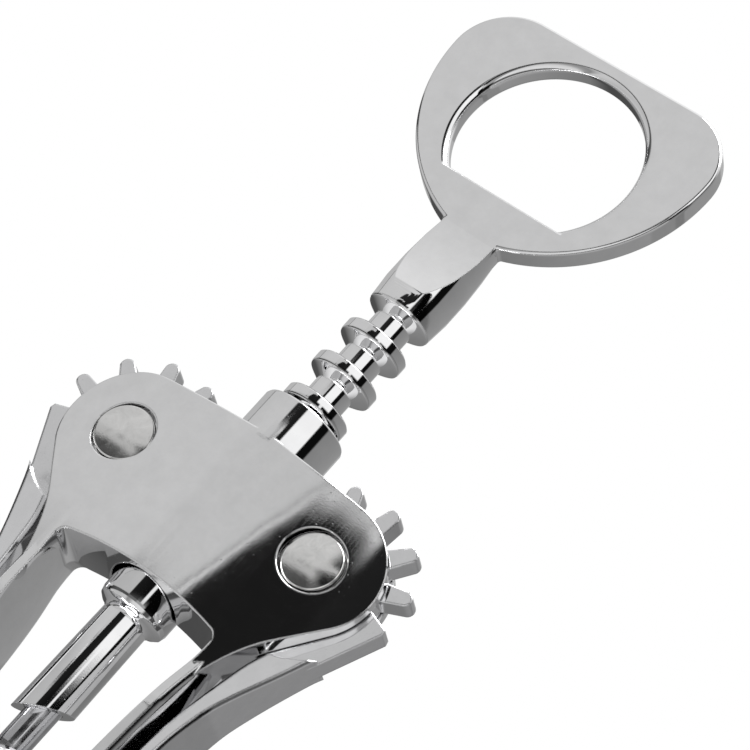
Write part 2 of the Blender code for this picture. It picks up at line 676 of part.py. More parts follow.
def arm_rows():
    """Arm by height below the pin: inner face, outer face (from the middle plane) and width."""
    waist = leg_radius(PIN_HEIGHT / 2) + LEG_CLEARANCE
    thick = ARM_THICKNESS
    top, end = ARM_TOP_DEPTH, ARM_END_DEPTH
    middle = 0.5 * (top + end)
    length = ARM_LENGTH
    return [
        (-7.0 * MM, waist + 5.6 * MM, waist + 11.6 * MM, top),
        (-12.0 * MM, waist + 4.4 * MM, waist + 9.4 * MM, top),
        (-17.0 * MM, waist + 2.6 * MM, waist + 7.2 * MM, top + 0.6 * MM),
        (-21.2 * MM, waist + 1.75 * MM, waist + 5.4 * MM, top + 1.6 * MM),
        (-25.0 * MM, waist + 1.1 * MM, waist + 4.0 * MM, top + 2.5 * MM),
        (-29.0 * MM, waist + 0.55 * MM, waist + 3.1 * MM, top + 3.5 * MM),
        (-34.0 * MM, waist + 0.15 * MM, waist + 0.1 * MM + thick, middle),
        (-44.0 * MM, waist, waist + thick, middle + 1.6 * MM),
        (-0.66 * length, waist + 0.1 * MM, waist + 0.1 * MM + thick, end - 1.6 * MM),
        (-0.77 * length, waist + 0.13 * ARM_FLARE, waist + 0.13 * ARM_FLARE + thick, end - 0.6 * MM),
        (-0.86 * length, waist + 0.38 * ARM_FLARE, waist + 0.38 * ARM_FLARE + thick, end),
        (-0.93 * length, waist + 0.7 * ARM_FLARE, waist + 0.7 * ARM_FLARE + 1.1 * thick, end),
        (-0.965 * length, waist + 0.86 * ARM_FLARE, waist + 0.86 * ARM_FLARE + 1.15 * thick, 0.86 * end),
        (-0.99 * length, waist + 0.97 * ARM_FLARE, waist + 0.97 * ARM_FLARE + 1.15 * thick, 0.56 * end),
        (-length, waist + 1.03 * ARM_FLARE, waist + 1.03 * ARM_FLARE + thick, 0.3 * end),
    ]


def arm_section(height, inner, outer, width):
    """Rectangle with chamfered corners, in a plane of constant height."""
    half = width / 2
    edge = ARM_EDGE
    plan = [(inner, -half + edge), (inner + edge, -half), (outer - edge, -half), (outer, -half + edge),
            (outer, half - edge), (outer - edge, half), (inner + edge, half), (inner, half - edge)]
    return [(x, y, PIN_HEIGHT + height) for x, y in plan]


def make_lever(name, side, material):
    """Pinion and arm in one casting, with its origin on its pin."""
    pin = Vector((HALF_SPACING, 0, PIN_HEIGHT))
    arm = make_object("arm", loft([arm_section(*row) for row in arm_rows()]))
    half_arm = ARM_END_DEPTH
    cut(arm, make_object("shoulder", cylinder(ARM_SHOULDER, -half_arm, half_arm, ROUND_STEPS * 2, "Y", pin)))
    pinion = prism([(pin.x + x, pin.z + z) for x, z in pinion_outline()], PINION_THICKNESS, 0.3 * MM, 1)
    lever = make_object(name, pinion, material=material)
    cut(lever, arm, "UNION")
    bore = cylinder(RIVET_RADIUS + RUNNING_GAP, -PLATE_DEPTH, PLATE_DEPTH, SMALL_STEPS, "Y", pin)
    cut(lever, make_object("bore", bore))
    mesh = bmesh.new()
    mesh.from_mesh(lever.data)
    if side < 0:
        bmesh.ops.scale(mesh, vec=(-1, 1, 1), verts=mesh.verts)
        bmesh.ops.reverse_faces(mesh, faces=mesh.faces)
    mesh.transform(Matrix.Translation(-Vector((side * pin.x, 0, pin.z))))
    mesh.to_mesh(lever.data)
    mesh.free()
    lever.location = (side * pin.x, 0, pin.z)
    shade(lever)
    return lever


# ---------------------------------------------------------------- rivets and guide

def make_rivet(name, side, material):
    """Pin that a lever turns on, with a low domed head at the front and the back."""
    rim = SEAT_HALF - RIVET_RECESS
    under = rim - RIVET_HEAD_HEIGHT
    half = [(RIVET_RADIUS, under), (RIVET_HEAD_RADIUS, under), (RIVET_HEAD_RADIUS, rim - 0.2 * MM),
            (RIVET_HEAD_RADIUS - 0.2 * MM, rim), (0.55 * RIVET_HEAD_RADIUS, rim + 0.7 * RIVET_DOME),
            (0, rim + RIVET_DOME)]
    profile = [(r, -y) for r, y in reversed(half)] + half
    centre = (side * HALF_SPACING, 0, PIN_HEIGHT)
    rivet = make_object(name, lathe(profile, SMALL_STEPS, "Y", centre), centre, material)
    shade(rivet)
    return rivet


def make_guide(material):
    """Nylon bush that snaps into the bell's crown and turns with the worm."""
    outer = GUIDE_HOLE_RADIUS - FIT_GAP
    inner = outer - GUIDE_WALL
    flange_top = CROWN_BOTTOM - FIT_GAP
    lip_low = CROWN_TOP + FIT_GAP
    lip = GUIDE_HOLE_RADIUS + GUIDE_LIP
    profile = [(inner + 0.4 * MM, flange_top - GUIDE_FLANGE), (lip + 1.6 * MM, flange_top - GUIDE_FLANGE),
               (lip + 1.6 * MM, flange_top), (outer, flange_top), (outer, lip_low), (lip, lip_low),
               (lip, lip_low + 0.4 * MM), (outer, lip_low + GUIDE_FLANGE),
               (inner + 0.4 * MM, lip_low + GUIDE_FLANGE), (inner, lip_low + GUIDE_FLANGE - 0.4 * MM),
               (inner, flange_top - GUIDE_FLANGE + 0.4 * MM)]
    guide = make_object("worm_guide", lathe(profile, ROUND_STEPS), material=material)
    shade(guide)
    return guide


def main():
    clear_scene()
    frame_chrome = make_material("frame_chrome", (0.72, 0.72, 0.73), 1.0, 0.06)
    handle_chrome = make_material("handle_chrome", (0.74, 0.74, 0.75), 1.0, 0.05)
    lever_chrome = make_material("lever_chrome", (0.68, 0.68, 0.70), 1.0, 0.08)
    worm_steel = make_material("worm_steel", (0.62, 0.62, 0.64), 1.0, 0.12)
    rivet_steel = make_material("rivet_steel", (0.70, 0.69, 0.68), 1.0, 0.25)
    guide_nylon = make_material("guide_nylon", (0.03, 0.03, 0.032), 0.0, 0.45)

    make_frame(frame_chrome)
    make_handle(handle_chrome)
    make_worm(worm_steel)
    for name, side in (("left", -1), ("right", 1)):
        make_lever(name + "_lever", side, lever_chrome)
        make_rivet(name + "_rivet", side, rivet_steel)
    make_guide(guide_nylon)


main()
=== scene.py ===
"""Lever corkscrew: fine meshes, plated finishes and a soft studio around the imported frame.

Units are metres, +Z is up and the front faces -Y.  Every piece repeats the size of its
CAD node, with smooth curves and rounded edges in place of the facets.
"""

import math

import bmesh
import bpy
from mathutils import Matrix, Vector


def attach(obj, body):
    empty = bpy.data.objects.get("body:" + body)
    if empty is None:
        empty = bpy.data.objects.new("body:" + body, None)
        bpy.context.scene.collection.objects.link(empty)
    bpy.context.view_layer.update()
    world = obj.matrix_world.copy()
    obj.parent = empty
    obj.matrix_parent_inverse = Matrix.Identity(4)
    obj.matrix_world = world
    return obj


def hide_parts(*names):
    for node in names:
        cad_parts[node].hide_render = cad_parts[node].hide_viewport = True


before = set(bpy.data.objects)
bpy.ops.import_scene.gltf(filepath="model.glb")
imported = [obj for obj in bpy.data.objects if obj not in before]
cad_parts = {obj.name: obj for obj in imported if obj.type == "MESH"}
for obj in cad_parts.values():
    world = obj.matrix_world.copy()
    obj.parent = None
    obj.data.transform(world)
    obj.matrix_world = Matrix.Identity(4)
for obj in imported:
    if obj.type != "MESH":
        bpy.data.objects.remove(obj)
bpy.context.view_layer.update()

MM = 0.001

# Overall layout
PIN_HEIGHT = 90.0 * MM  # lever pins above the bell's rim
PIN_SPACING = 35.4 * MM  # between the two lever pins
HEAD_TOP = 91.5 * MM  # top of the opener head above the pins
RUNNING_GAP = 0.15 * MM  # radial gap between a pin and what turns on it
RIVET_GAP = 0.2 * MM  # radial gap between a rivet and the plate's holes
FIT_GAP = 0.3 * MM  # gap between pieces that only lie together

# Rack and pinions
PITCH_OFFSET = 4.7 * MM  # rack's pitch line from the spindle's axis
RACK_PITCH = 6.625 * MM  # from ring to ring
FIRST_TOOTH = math.radians(18.0)  # the outermost tooth, from +X, levers down
TOOTH_COUNT = 7
TOOTH_WIDTH = 2.3 * MM  # finger width at the round tip
TOOTH_ROOT_WIDTH = 3.0 * MM
ROOT_CLEARANCE = 2.45 * MM  # from a ring's edge to the tooth roots
PINION_THICKNESS = 3.4 * MM
SLOT_SIDE_GAP = 0.35 * MM  # each side of a pinion in its slot
SLOT_TIP_GAP = 0.4 * MM  # past the tooth tips in the slot
HEEL_STEP = 0.9 * MM  # stop face inside the tooth tips
CORE_RADIUS = 3.1 * MM  # rack between its rings
RING_RADIUS = 5.35 * MM
RING_BAND = 2.1 * MM  # height of a ring's cylindrical band
RING_CONE = 1.2 * MM  # height of the cone under the band
RING_COUNT = 7
RING_EDGE = 0.25 * MM
RACK_LEAD = 2.1 * MM  # from a tooth's middle up to the edge of the ring above it

# Frame casting
PLATE_WALL = 0.95 * MM  # in front of the spindle's bore and behind it
BORE_GAP = 0.25 * MM  # radial gap round the rings
BOSS_GAP = 0.6 * MM  # radial gap round the boss
BORE_LEAD = 0.45 * MM  # chamfer at the bore's top
FACE_RADIUS = 115.0 * MM  # crown of the plate's faces from side to side
FACE_STRIPS = 120
PLATE_TOP = 11.2 * MM  # top edge above the pins, at the middle
LOBE_RADIUS = 10.3 * MM  # round lobe about each pin
LOBE_START = math.radians(85)  # the top edge meets the lobe here, from +X
LOBE_END = math.radians(-38)  # the flank leaves the lobe here
FLANK_IN = 5.25 * MM  # from there to the top of the legs' curve
FLANK_DOWN = 6.7 * MM
LEG_EDGE = 0.5 * MM
LEG_WAIST = 0.7 * MM  # legs' outer face inside the bell's, at the waist
LEG_INSIDE = 7.5 * MM  # solid leg before the window is cut, inside the bell's radius
LEG_OVERLAP = 1.0 * MM  # how far a leg's foot stands in the crown
COLLAR_RADIUS = 7.0 * MM
COLLAR_TOP = 18.1 * MM  # above the pins
COLLAR_EDGE = 0.6 * MM
COLLAR_FOOT = 10.4 * MM  # above the pins, just inside the plate
ARCH_TOP = 16.0 * MM  # window's upper corners below the pins
ARCH_RISE = 1.1 * MM  # how much the window's top edge bows up
WINDOW_TOP_WALL = 2.1 * MM  # leg beside the window at its top
WINDOW_WAIST_WALL = 4.3 * MM  # leg beside the window at the waist
WINDOW_CORNER = 1.6 * MM
WINDOW_DRAFT = 1.9 * MM  # parting ridge stands this far into the window
WINDOW_FLARE = 2.6 * MM  # and its cutter widens by this far in front and behind
LEG_DEPTH = 14.4 * MM  # front edge to back edge of a leg
BELL_RADIUS = 17.0 * MM
BELL_WALL = 1.8 * MM
BELL_SHOULDER = 3.6 * MM
RIM_LIP = 0.8 * MM  # how far the rim stands out from the bell
RIM_HEIGHT = 2.2 * MM
CROWN_TOP = 21.0 * MM  # floor of the window, above the rim
CROWN_THICKNESS = 5.0 * MM
GUIDE_HOLE_RADIUS = 6.9 * MM

# Handle and spindle casting
HEAD_WIDTH = 47.6 * MM
HEAD_THICKNESS = 3.8 * MM
HEAD_CORNER_RADIUS = 9.5 * MM
HEAD_SIDE_RADIUS = 27.5 * MM
HEAD_EDGE = 0.55 * MM
OPENER_RADIUS = 14.5 * MM
OPENER_BELOW_TOP = 17.65 * MM  # hole's centre below the head's top
OPENER_CHORD = 10.45 * MM  # flat lip below the hole's centre
OPENER_EDGE = 1.25 * MM  # rounding of the hole's edges
NECK_HALF_WIDTH = 5.0 * MM  # where the neck meets the head
NECK_RADIUS = 5.7 * MM  # widest part of the neck
BOSS_RADIUS = 5.65 * MM
BOSS_EDGE = 0.6 * MM
BOSS_TOP = 12.0 * MM  # below the pins
BOSS_BOTTOM = 20.6 * MM
STEM_TOP_RADIUS = 3.75 * MM
STEM_END_RADIUS = 4.05 * MM
STEM_END = 38.1 * MM  # below the pins, on the axis
STEM_SLANT = math.radians(28.0)  # slope of the stem's cut end
STEM_SLANT_TURN = math.radians(26.0)

# Worm
SHANK_RADIUS = 2.35 * MM
SHANK_SEAT = 12.0 * MM  # length cast into the stem
SHANK_LENGTH = 6.5 * MM  # plain length below the stem
SHANK_GAP = 0.05 * MM  # radial gap between the shank and the stem
CORE_THINNING = 0.5 * MM  # the worm's core is this much thinner than the shank
WORM_RADIUS = 4.05 * MM
WORM_PITCH = 8.4 * MM
WORM_TIP_HEIGHT = 9.5 * MM  # of the point above the bell's rim
WORM_TAPER = 9.0 * MM  # length of the point

# Levers
ARM_SHOULDER = 14.2 * MM  # radius about the pin where the thick arm starts
ARM_TOP_DEPTH = 6.8 * MM  # width of the arm, front to back, at its top
ARM_END_DEPTH = 16.0 * MM
ARM_THICKNESS = 2.4 * MM
ARM_END_HEIGHT = 9.0 * MM  # of the arm's end above the bell's rim
ARM_EDGE = 0.5 * MM
ARM_FLARE = 4.6 * MM  # how far the end bends outwards
LEG_CLEARANCE = 0.7 * MM  # from the legs' waist to the arm

# Rivets and guide
RIVET_RADIUS = 2.5 * MM
RIVET_HEAD_RADIUS = 4.55 * MM
RIVET_HEAD_HEIGHT = 1.2 * MM
RIVET_DOME = 0.25 * MM
RIVET_RECESS = 0.3 * MM  # head's rim below the plate's face
GUIDE_WALL = 2.15 * MM
GUIDE_FLANGE = 1.1 * MM
GUIDE_LIP = 0.5 * MM

ROUND_STEPS = 144  # sides of the larger round pieces
SMALL_STEPS = 96  # sides of pins and holes
WORM_STEPS = 60  # points round the worm
CURVE_STEPS = 40  # points along the smaller curves
LOBE_STEPS = 64
FLANK_STEPS = 32
LEG_ROWS = 56  # sections up a leg
LEG_STEPS = 24  # points across its round outer face
HEAD_SIDE_STEPS = 56
OPENER_STEPS = 160
ARM_ROWS = 90  # sections down an arm
EDGE_STEPS = 5  # across a rounded edge of the head
WELD = 1e-7  # points closer than this, in metres, become one

HALF_SPACING = PIN_SPACING / 2
PITCH_RADIUS = HALF_SPACING - PITCH_OFFSET
TOOTH_STEP = RACK_PITCH / PITCH_RADIUS  # angle between teeth
PINION_ROOT_RADIUS = HALF_SPACING - RING_RADIUS - ROOT_CLEARANCE
TIP_RADIUS = HALF_SPACING - CORE_RADIUS - 0.8 * FIT_GAP
BORE_RADIUS = max(RING_RADIUS, NECK_RADIUS) + BORE_GAP
PLATE_DEPTH = 2 * (BORE_RADIUS + PLATE_WALL)
HALF_PLATE = PLATE_DEPTH / 2
FACE_DROP = FACE_RADIUS - math.sqrt(FACE_RADIUS ** 2 - HALF_SPACING ** 2)
SEAT_HALF = HALF_PLATE - FACE_DROP  # half the plate's depth at a pin
RECESS_RADIUS = RIVET_HEAD_RADIUS + FIT_GAP
RECESS_FLOOR = SEAT_HALF - RIVET_RECESS - RIVET_HEAD_HEIGHT - FIT_GAP
BELL_BORE = BELL_RADIUS - BELL_WALL
RIM_RADIUS = BELL_RADIUS + RIM_LIP
WORM_TIP = PIN_HEIGHT - WORM_TIP_HEIGHT
ARM_LENGTH = PIN_HEIGHT - ARM_END_HEIGHT
WINDOW_TOP = PIN_HEIGHT - ARCH_TOP
CROWN_BOTTOM = CROWN_TOP - CROWN_THICKNESS
NECK_END = PITCH_RADIUS * (math.pi - FIRST_TOOTH) + RACK_LEAD


def add_item(name, data):
    """Put an object with this mesh, light or camera into the scene."""
    item = bpy.data.objects.new(name, data)
    bpy.context.collection.objects.link(item)
    return item


def make_object(name, mesh_data, material=None):
    """Turn a bmesh in world coordinates into an object."""
    bmesh.ops.remove_doubles(mesh_data, verts=mesh_data.verts, dist=WELD)
    bmesh.ops.recalc_face_normals(mesh_data, faces=mesh_data.faces)
    mesh = bpy.data.meshes.new(name)
    mesh_data.to_mesh(mesh)
    mesh_data.free()
    if material:
        mesh.materials.append(material)
    return add_item(name, mesh)


def soften(item, size=0.0, angle=34):
    """Shade a piece smooth, and round its sharp edges by size or, without one, keep them sharp."""
    item.data.shade_smooth()
    if size:
        bevel = item.modifiers.new("edges", "BEVEL")
        bevel.width = size
        bevel.segments = 3
        bevel.limit_method = "ANGLE"
        bevel.angle_limit = math.radians(angle)
        bevel.use_clamp_overlap = False
        bevel.miter_outer = "MITER_ARC"
        bevel.harden_normals = True
    else:
        item.data.set_sharp_from_angle(angle=math.radians(angle))
        weighted = item.modifiers.new("weighted normals", "WEIGHTED_NORMAL")
        weighted.mode = "FACE_AREA"
        weighted.weight = 90
        weighted.keep_sharp = True


def cut(target, tool, operation="DIFFERENCE"):
    """Apply one exact Boolean with a mesh or an object, which it uses up."""
    if isinstance(tool, bmesh.types.BMesh):
        tool = make_object("tool", tool)
    modifier = target.modifiers.new(operation.lower(), "BOOLEAN")
    modifier.operation = operation
    modifier.solver = "EXACT"
    modifier.object = tool
    with bpy.context.temp_override(object=target, active_object=target):
        bpy.ops.object.modifier_apply(modifier=modifier.name)
    bpy.data.objects.remove(tool, do_unlink=True)


def arc(centre_x, centre_z, radius, start, end, steps):
    """Points on an arc in the XZ plane; the angles are in radians."""
    points = []
    for step in range(steps + 1):
        angle = start + (end - start) * step / steps
        points.append((centre_x + radius * math.cos(angle), centre_z + radius * math.sin(angle)))
    return points


def bezier(start, control, end, steps):
    points = []
    for step in range(steps + 1):
        t = step / steps
        a, b, c = (1 - t) ** 2, 2 * t * (1 - t), t * t
        points.append(tuple(a * s + b * m + c * e for s, m, e in zip(start, control, end)))
    return points


def mirrored(half):
    """Close a right-hand outline, listed from top to bottom, with its mirror image."""
    left = [(-x, z) for x, z in reversed(half) if x > 1e-6]
    return half + left


def slope(table, row, column):
    """Slope of a column at a row, from the rows beside it, and level at a peak or the end of a flat."""
    here, above, below = table[row], table[max(row - 1, 0)], table[min(row + 1, len(table) - 1)]
    if (here[column] - above[column]) * (below[column] - here[column]) <= 0:
        return 0.0
    return (below[column] - above[column]) / (below[0] - above[0])


def blend(table, position):
    """Smooth look-up in rows of (position, value, ...), sorted by falling position."""
    position = min(position, table[0][0])
    for row, (upper, lower) in enumerate(zip(table, table[1:])):
        if position >= lower[0]:
            span = lower[0] - upper[0]
            t = (position - upper[0]) / span
            values = []
            for column in range(1, len(upper)):
                start, end = upper[column], lower[column]
                leave, arrive = slope(table, row, column) * span, slope(table, row + 1, column) * span
                rise = (3 - 2 * t) * t * t
                value = start + (end - start) * rise + leave * t * (1 - t) ** 2
                values.append(value - arrive * t * t * (1 - t))
            return values
    return list(table[-1][1:])


def prism(outline, depth, edge=0.0):
    """Extrude an XZ outline to +-depth/2 along Y, with rounded front and back edges."""
    mesh = bmesh.new()
    front = [mesh.verts.new((x, -depth / 2, z)) for x, z in outline]
    face = mesh.faces.new(front)
    extruded = bmesh.ops.extrude_face_region(mesh, geom=[face])
    moved = [v for v in extruded["geom"] if isinstance(v, bmesh.types.BMVert)]
    bmesh.ops.translate(mesh, verts=moved, vec=(0, depth, 0))
    if edge:
        round_edges(mesh, edge, depth / 2)
    return mesh


def round_edges(mesh, size, half_depth):
    """Bevel the edges that lie in the planes y = -half_depth and y = +half_depth."""
    mesh.normal_update()
    chosen = []
    for edge in mesh.edges:
        flat = all(abs(abs(v.co.y) - half_depth) < 1e-8 for v in edge.verts)
        if flat and len(edge.link_faces) == 2 and edge.calc_face_angle(0) > math.radians(50):
            chosen.append(edge)
    bmesh.ops.bevel(mesh, geom=chosen, offset=size, segments=EDGE_STEPS, profile=0.5, affect="EDGES")


def lathe(profile, steps, axis="Z", centre=(0, 0, 0)):
    """Spin a closed (radius, height) profile into a solid about an axis through centre."""
    mesh = bmesh.new()
    rings = []
    for radius, height in profile:
        if radius < 1e-7:
            rings.append([mesh.verts.new((0, 0, height))])
            continue
        ring = []
        for step in range(steps):
            angle = 2 * math.pi * step / steps
            ring.append(mesh.verts.new((radius * math.cos(angle), radius * math.sin(angle), height)))
        rings.append(ring)
    pairs = list(zip(rings, rings[1:]))
    if len(rings[0]) > 1:
        pairs.append((rings[-1], rings[0]))
    for lower, upper in pairs:
        join_rings(mesh, lower, upper)
    if axis == "Y":
        mesh.transform(Matrix.Rotation(math.radians(90), 4, "X"))
    mesh.transform(Matrix.Translation(centre))
    return mesh


def join_rings(mesh, lower, upper):
    if len(lower) == 1 and len(upper) == 1:
        return
    count = max(len(lower), len(upper))
    for i in range(count):
        j = (i + 1) % count
        corners = [lower[i % len(lower)], lower[j % len(lower)], upper[j % len(upper)], upper[i % len(upper)]]
        unique = [v for n, v in enumerate(corners) if v not in corners[:n]]
        mesh.faces.new(unique)


def loft(sections):
    """Skin a row of equal-length closed sections and cap both ends."""
    mesh = bmesh.new()
    rings = [[mesh.verts.new(point) for point in section] for section in sections]
    for lower, upper in zip(rings, rings[1:]):
        join_rings(mesh, lower, upper)
    mesh.faces.new(rings[0])
    mesh.faces.new(rings[-1])
    return mesh


def cylinder(radius, start, end, steps=SMALL_STEPS, axis="Z", centre=(0, 0, 0)):
    return lathe([(0, start), (radius, start), (radius, end), (0, end)], steps, axis, centre)


# ---- frame

def plate_outline():
    """Front view of the casting above the legs."""
    points = [(0, PLATE_TOP)]
    points += arc(HALF_SPACING, 0, LOBE_RADIUS, LOBE_START, LOBE_END, LOBE_STEPS)
    start = (points[-1][0] - FLANK_IN, points[-1][1] - FLANK_DOWN)
    end = (BELL_RADIUS - 2.4 * MM, -ARCH_TOP - 15.2 * MM)
    bend = (BELL_RADIUS - 1.2 * MM, -ARCH_TOP - 3.6 * MM)
    points += bezier(start, bend, end, FLANK_STEPS)
    points.append((0, end[1]))
    return [(x, PIN_HEIGHT + z) for x, z in mirrored(points)]


def face_half_depth(x):
    """Half the plate's depth at a distance from its middle."""
    return HALF_PLATE - FACE_RADIUS + math.sqrt(FACE_RADIUS ** 2 - x ** 2)


def make_crown():
    """Solid between the plate's two crowned faces."""
    reach = HALF_SPACING + 2 * LOBE_RADIUS
    front = []
    for strip in range(FACE_STRIPS + 1):
        x = reach * (2 * strip / FACE_STRIPS - 1)
        front.append((x, -face_half_depth(x)))
    outline = front + [(x, -y) for x, y in reversed(front)]
    levels = (PIN_HEIGHT - PIN_SPACING, PIN_HEIGHT + PIN_SPACING)
    return loft([[(x, y, z) for x, y in outline] for z in levels])


def make_plate(material):
    """Crowned plate with a recess for each rivet head, front and back."""
    plate = make_object("frame", prism(plate_outline(), PLATE_DEPTH + FIT_GAP), material=material)
    cut(plate, make_crown(), "INTERSECT")
    for side in (-1, 1):
        centre = (side * HALF_SPACING, 0, PIN_HEIGHT)
        for start, end in ((-PLATE_DEPTH, -RECESS_FLOOR), (RECESS_FLOOR, PLATE_DEPTH)):
            recess = cylinder(RECESS_RADIUS, start, end, ROUND_STEPS, "Y", centre)
            cut(plate, recess)
    return plate


def leg_radius(height):
    """Outer radius of the legs: a gentle waist between the bell and the plate."""
    waist = BELL_RADIUS - LEG_WAIST
    rows = [
        (WINDOW_TOP + 8 * MM, BELL_RADIUS + 0.2 * MM),
        (WINDOW_TOP - 11 * MM, BELL_RADIUS),
        (WINDOW_TOP - 18 * MM, waist + 0.3 * MM),
        (WINDOW_TOP - 26 * MM, waist),
        (CROWN_TOP + 12 * MM, waist),
        (CROWN_TOP + 4 * MM, waist + 0.25 * MM),
        (CROWN_BOTTOM, waist + 0.3 * MM),
    ]
    return blend(rows, height)[0]


def leg_half_depth(height):
    """The legs are flush inside the plate and swell to their full depth below it."""
    hidden = face_half_depth(BELL_RADIUS) - FIT_GAP
    full = LEG_DEPTH / 2
    swell = WINDOW_TOP - 14 * MM
    rows = [(WINDOW_TOP + 8 * MM, hidden), (WINDOW_TOP, hidden), (swell, full), (CROWN_BOTTOM, full)]
    return blend(rows, height)[0]


def make_leg(side):
    """One leg, from inside the crown to inside the plate, still solid on its inner side."""
    top = WINDOW_TOP + 6 * MM
    low = CROWN_BOTTOM + LEG_OVERLAP
    sections = []
    for row in range(LEG_ROWS + 1):
        height = low + (top - low) * row / LEG_ROWS
        radius = leg_radius(height)
        half = leg_half_depth(height)
        reach = math.asin((half - LEG_EDGE) / radius)
        outer = arc(0, 0, radius, -reach, reach, LEG_STEPS)
        front = (outer[0][0] - LEG_EDGE, -half)
        back = (outer[-1][0] - LEG_EDGE, half)
        inner = BELL_RADIUS - LEG_INSIDE
        plan = [(inner, -half), front] + outer + [back, (inner, half)]
        sections.append([(side * x, y, height) for x, y in plan])
    return loft(sections)


def window_outline(inset):
    """Window between the legs; inset moves its sides and top into the opening."""
    top = WINDOW_TOP - inset
    waist = BELL_RADIUS - WINDOW_WAIST_WALL - inset
    upper = BELL_RADIUS - WINDOW_TOP_WALL - inset
    corner = arc(upper - WINDOW_CORNER, top - WINDOW_CORNER, WINDOW_CORNER, math.pi / 2, 0, 12)
    rows = [(top - WINDOW_CORNER, upper), (top - 11 * MM, upper - 1.0 * MM),
            (top - 19 * MM, waist + 0.4 * MM), (top - 28 * MM, waist), (CROWN_TOP, waist)]
    low = CROWN_TOP - top + WINDOW_CORNER
    heights = [top - WINDOW_CORNER + low * step / CURVE_STEPS for step in range(1, CURVE_STEPS + 1)]
    side = [(blend(rows, height)[0], height) for height in heights]
    bow = []
    for step in range(24):
        x = (upper - WINDOW_CORNER) * step / 24
        bow.append((x, top + ARCH_RISE * (1 - (x / (upper - WINDOW_CORNER)) ** 2)))
    return mirrored(bow + corner + side)


def make_window_cutter():
    """The window narrows from both faces to the parting ridge in the middle."""
    reach = BELL_RADIUS
    insets = ((-reach, -WINDOW_FLARE), (0, WINDOW_DRAFT), (reach, -WINDOW_FLARE))
    return loft([[(x, y, z) for x, z in window_outline(inset)] for y, inset in insets])


def make_bell():
    shoulder = [(BELL_RADIUS - BELL_SHOULDER + x, CROWN_TOP - BELL_SHOULDER + z)
                for x, z in arc(0, 0, BELL_SHOULDER, math.pi / 2, 0, 20)]
    outside = [(0, CROWN_TOP)] + shoulder
    outside += [(BELL_RADIUS, RIM_HEIGHT + 1.2 * MM), (RIM_RADIUS, RIM_HEIGHT), (RIM_RADIUS, 0.4 * MM)]
    outside += [(RIM_RADIUS - 0.4 * MM, 0)]
    inside = [(BELL_BORE + 0.7 * MM, 0), (BELL_BORE, 2.0 * MM)]
    inside += [(BELL_BORE, CROWN_BOTTOM - 1.5 * MM), (BELL_BORE - 1.5 * MM, CROWN_BOTTOM)]
    inside += [(0, CROWN_BOTTOM)]
    return lathe(outside + inside, ROUND_STEPS)


def make_collar():
    base = PIN_HEIGHT + COLLAR_FOOT
    top = PIN_HEIGHT + COLLAR_TOP
    edge = COLLAR_EDGE
    profile = [(0, base), (COLLAR_RADIUS, base), (COLLAR_RADIUS, top - edge),
               (COLLAR_RADIUS - edge / 3, top - edge / 3), (COLLAR_RADIUS - edge, top), (0, top)]
    return lathe(profile, ROUND_STEPS)


def make_bore():
    """Round way through the casting for the rack, wider below for the boss."""
    low = WINDOW_TOP - 8 * MM
    wide = BOSS_RADIUS + BOSS_GAP
    change = PIN_HEIGHT - BOSS_TOP + 2.5 * MM
    top = PIN_HEIGHT + COLLAR_TOP
    mouth = BORE_RADIUS + BORE_LEAD
    profile = [(0, low), (wide, low), (wide, change), (BORE_RADIUS, change + 0.5 * MM),
               (BORE_RADIUS, top + 0.1 * MM - BORE_LEAD), (mouth, top + 0.1 * MM), (mouth, top + 1 * MM),
               (0, top + 1 * MM)]
    return lathe(profile, ROUND_STEPS)


def make_rivet_hole(side):
    centre = (side * HALF_SPACING, 0, PIN_HEIGHT)
    return cylinder(RIVET_RADIUS + RIVET_GAP, -PLATE_DEPTH, PLATE_DEPTH, SMALL_STEPS, "Y", centre)


def make_slot(side):
    """Room for a lever's pinion between the front and back walls."""
    half = PINION_THICKNESS / 2 + SLOT_SIDE_GAP
    radius = TIP_RADIUS + SLOT_TIP_GAP
    return cylinder(radius, -half, half, ROUND_STEPS, "Y", (side * HALF_SPACING, 0, PIN_HEIGHT))


def make_frame(material):
    casting = make_plate(material)
    for side in (-1, 1):
        cut(casting, make_leg(side), "UNION")
    cut(casting, make_window_cutter())
    cut(casting, make_bell(), "UNION")
    cut(casting, make_collar(), "UNION")
    cut(casting, make_bore())
    guide_hole = cylinder(GUIDE_HOLE_RADIUS, CROWN_BOTTOM - 1 * MM, CROWN_TOP + 1 * MM, ROUND_STEPS)
    cut(casting, guide_hole)
    for side in (-1, 1):
        cut(casting, make_slot(side))
        cut(casting, make_rivet_hole(side))
    soften(casting)
    return casting


# ---- handle and spindle

def head_outline():
    top = PIN_HEIGHT + HEAD_TOP
    widest = top - HEAD_CORNER_RADIUS
    half = HEAD_WIDTH / 2
    centre = half - HEAD_SIDE_RADIUS
    reach = math.acos((NECK_HALF_WIDTH - centre) / HEAD_SIDE_RADIUS)
    points = [(0, top)]
    points += arc(half - HEAD_CORNER_RADIUS, widest, HEAD_CORNER_RADIUS, math.pi / 2, 0, CURVE_STEPS)
    points += arc(centre, widest, HEAD_SIDE_RADIUS, 0, -reach, HEAD_SIDE_STEPS)[1:]
    points.append((points[-1][0], points[-1][1] - 2 * MM))
    return mirrored(points)


def opener_outline(spread, lip):
    """Round hole with a flat lip on the neck's side, widened by spread and, at the lip, by lip."""
    centre = PIN_HEIGHT + HEAD_TOP - OPENER_BELOW_TOP
    radius = OPENER_RADIUS + spread
    start = -math.asin((OPENER_CHORD + lip) / radius)
    return arc(0, centre, radius, start, math.pi - start, OPENER_STEPS)


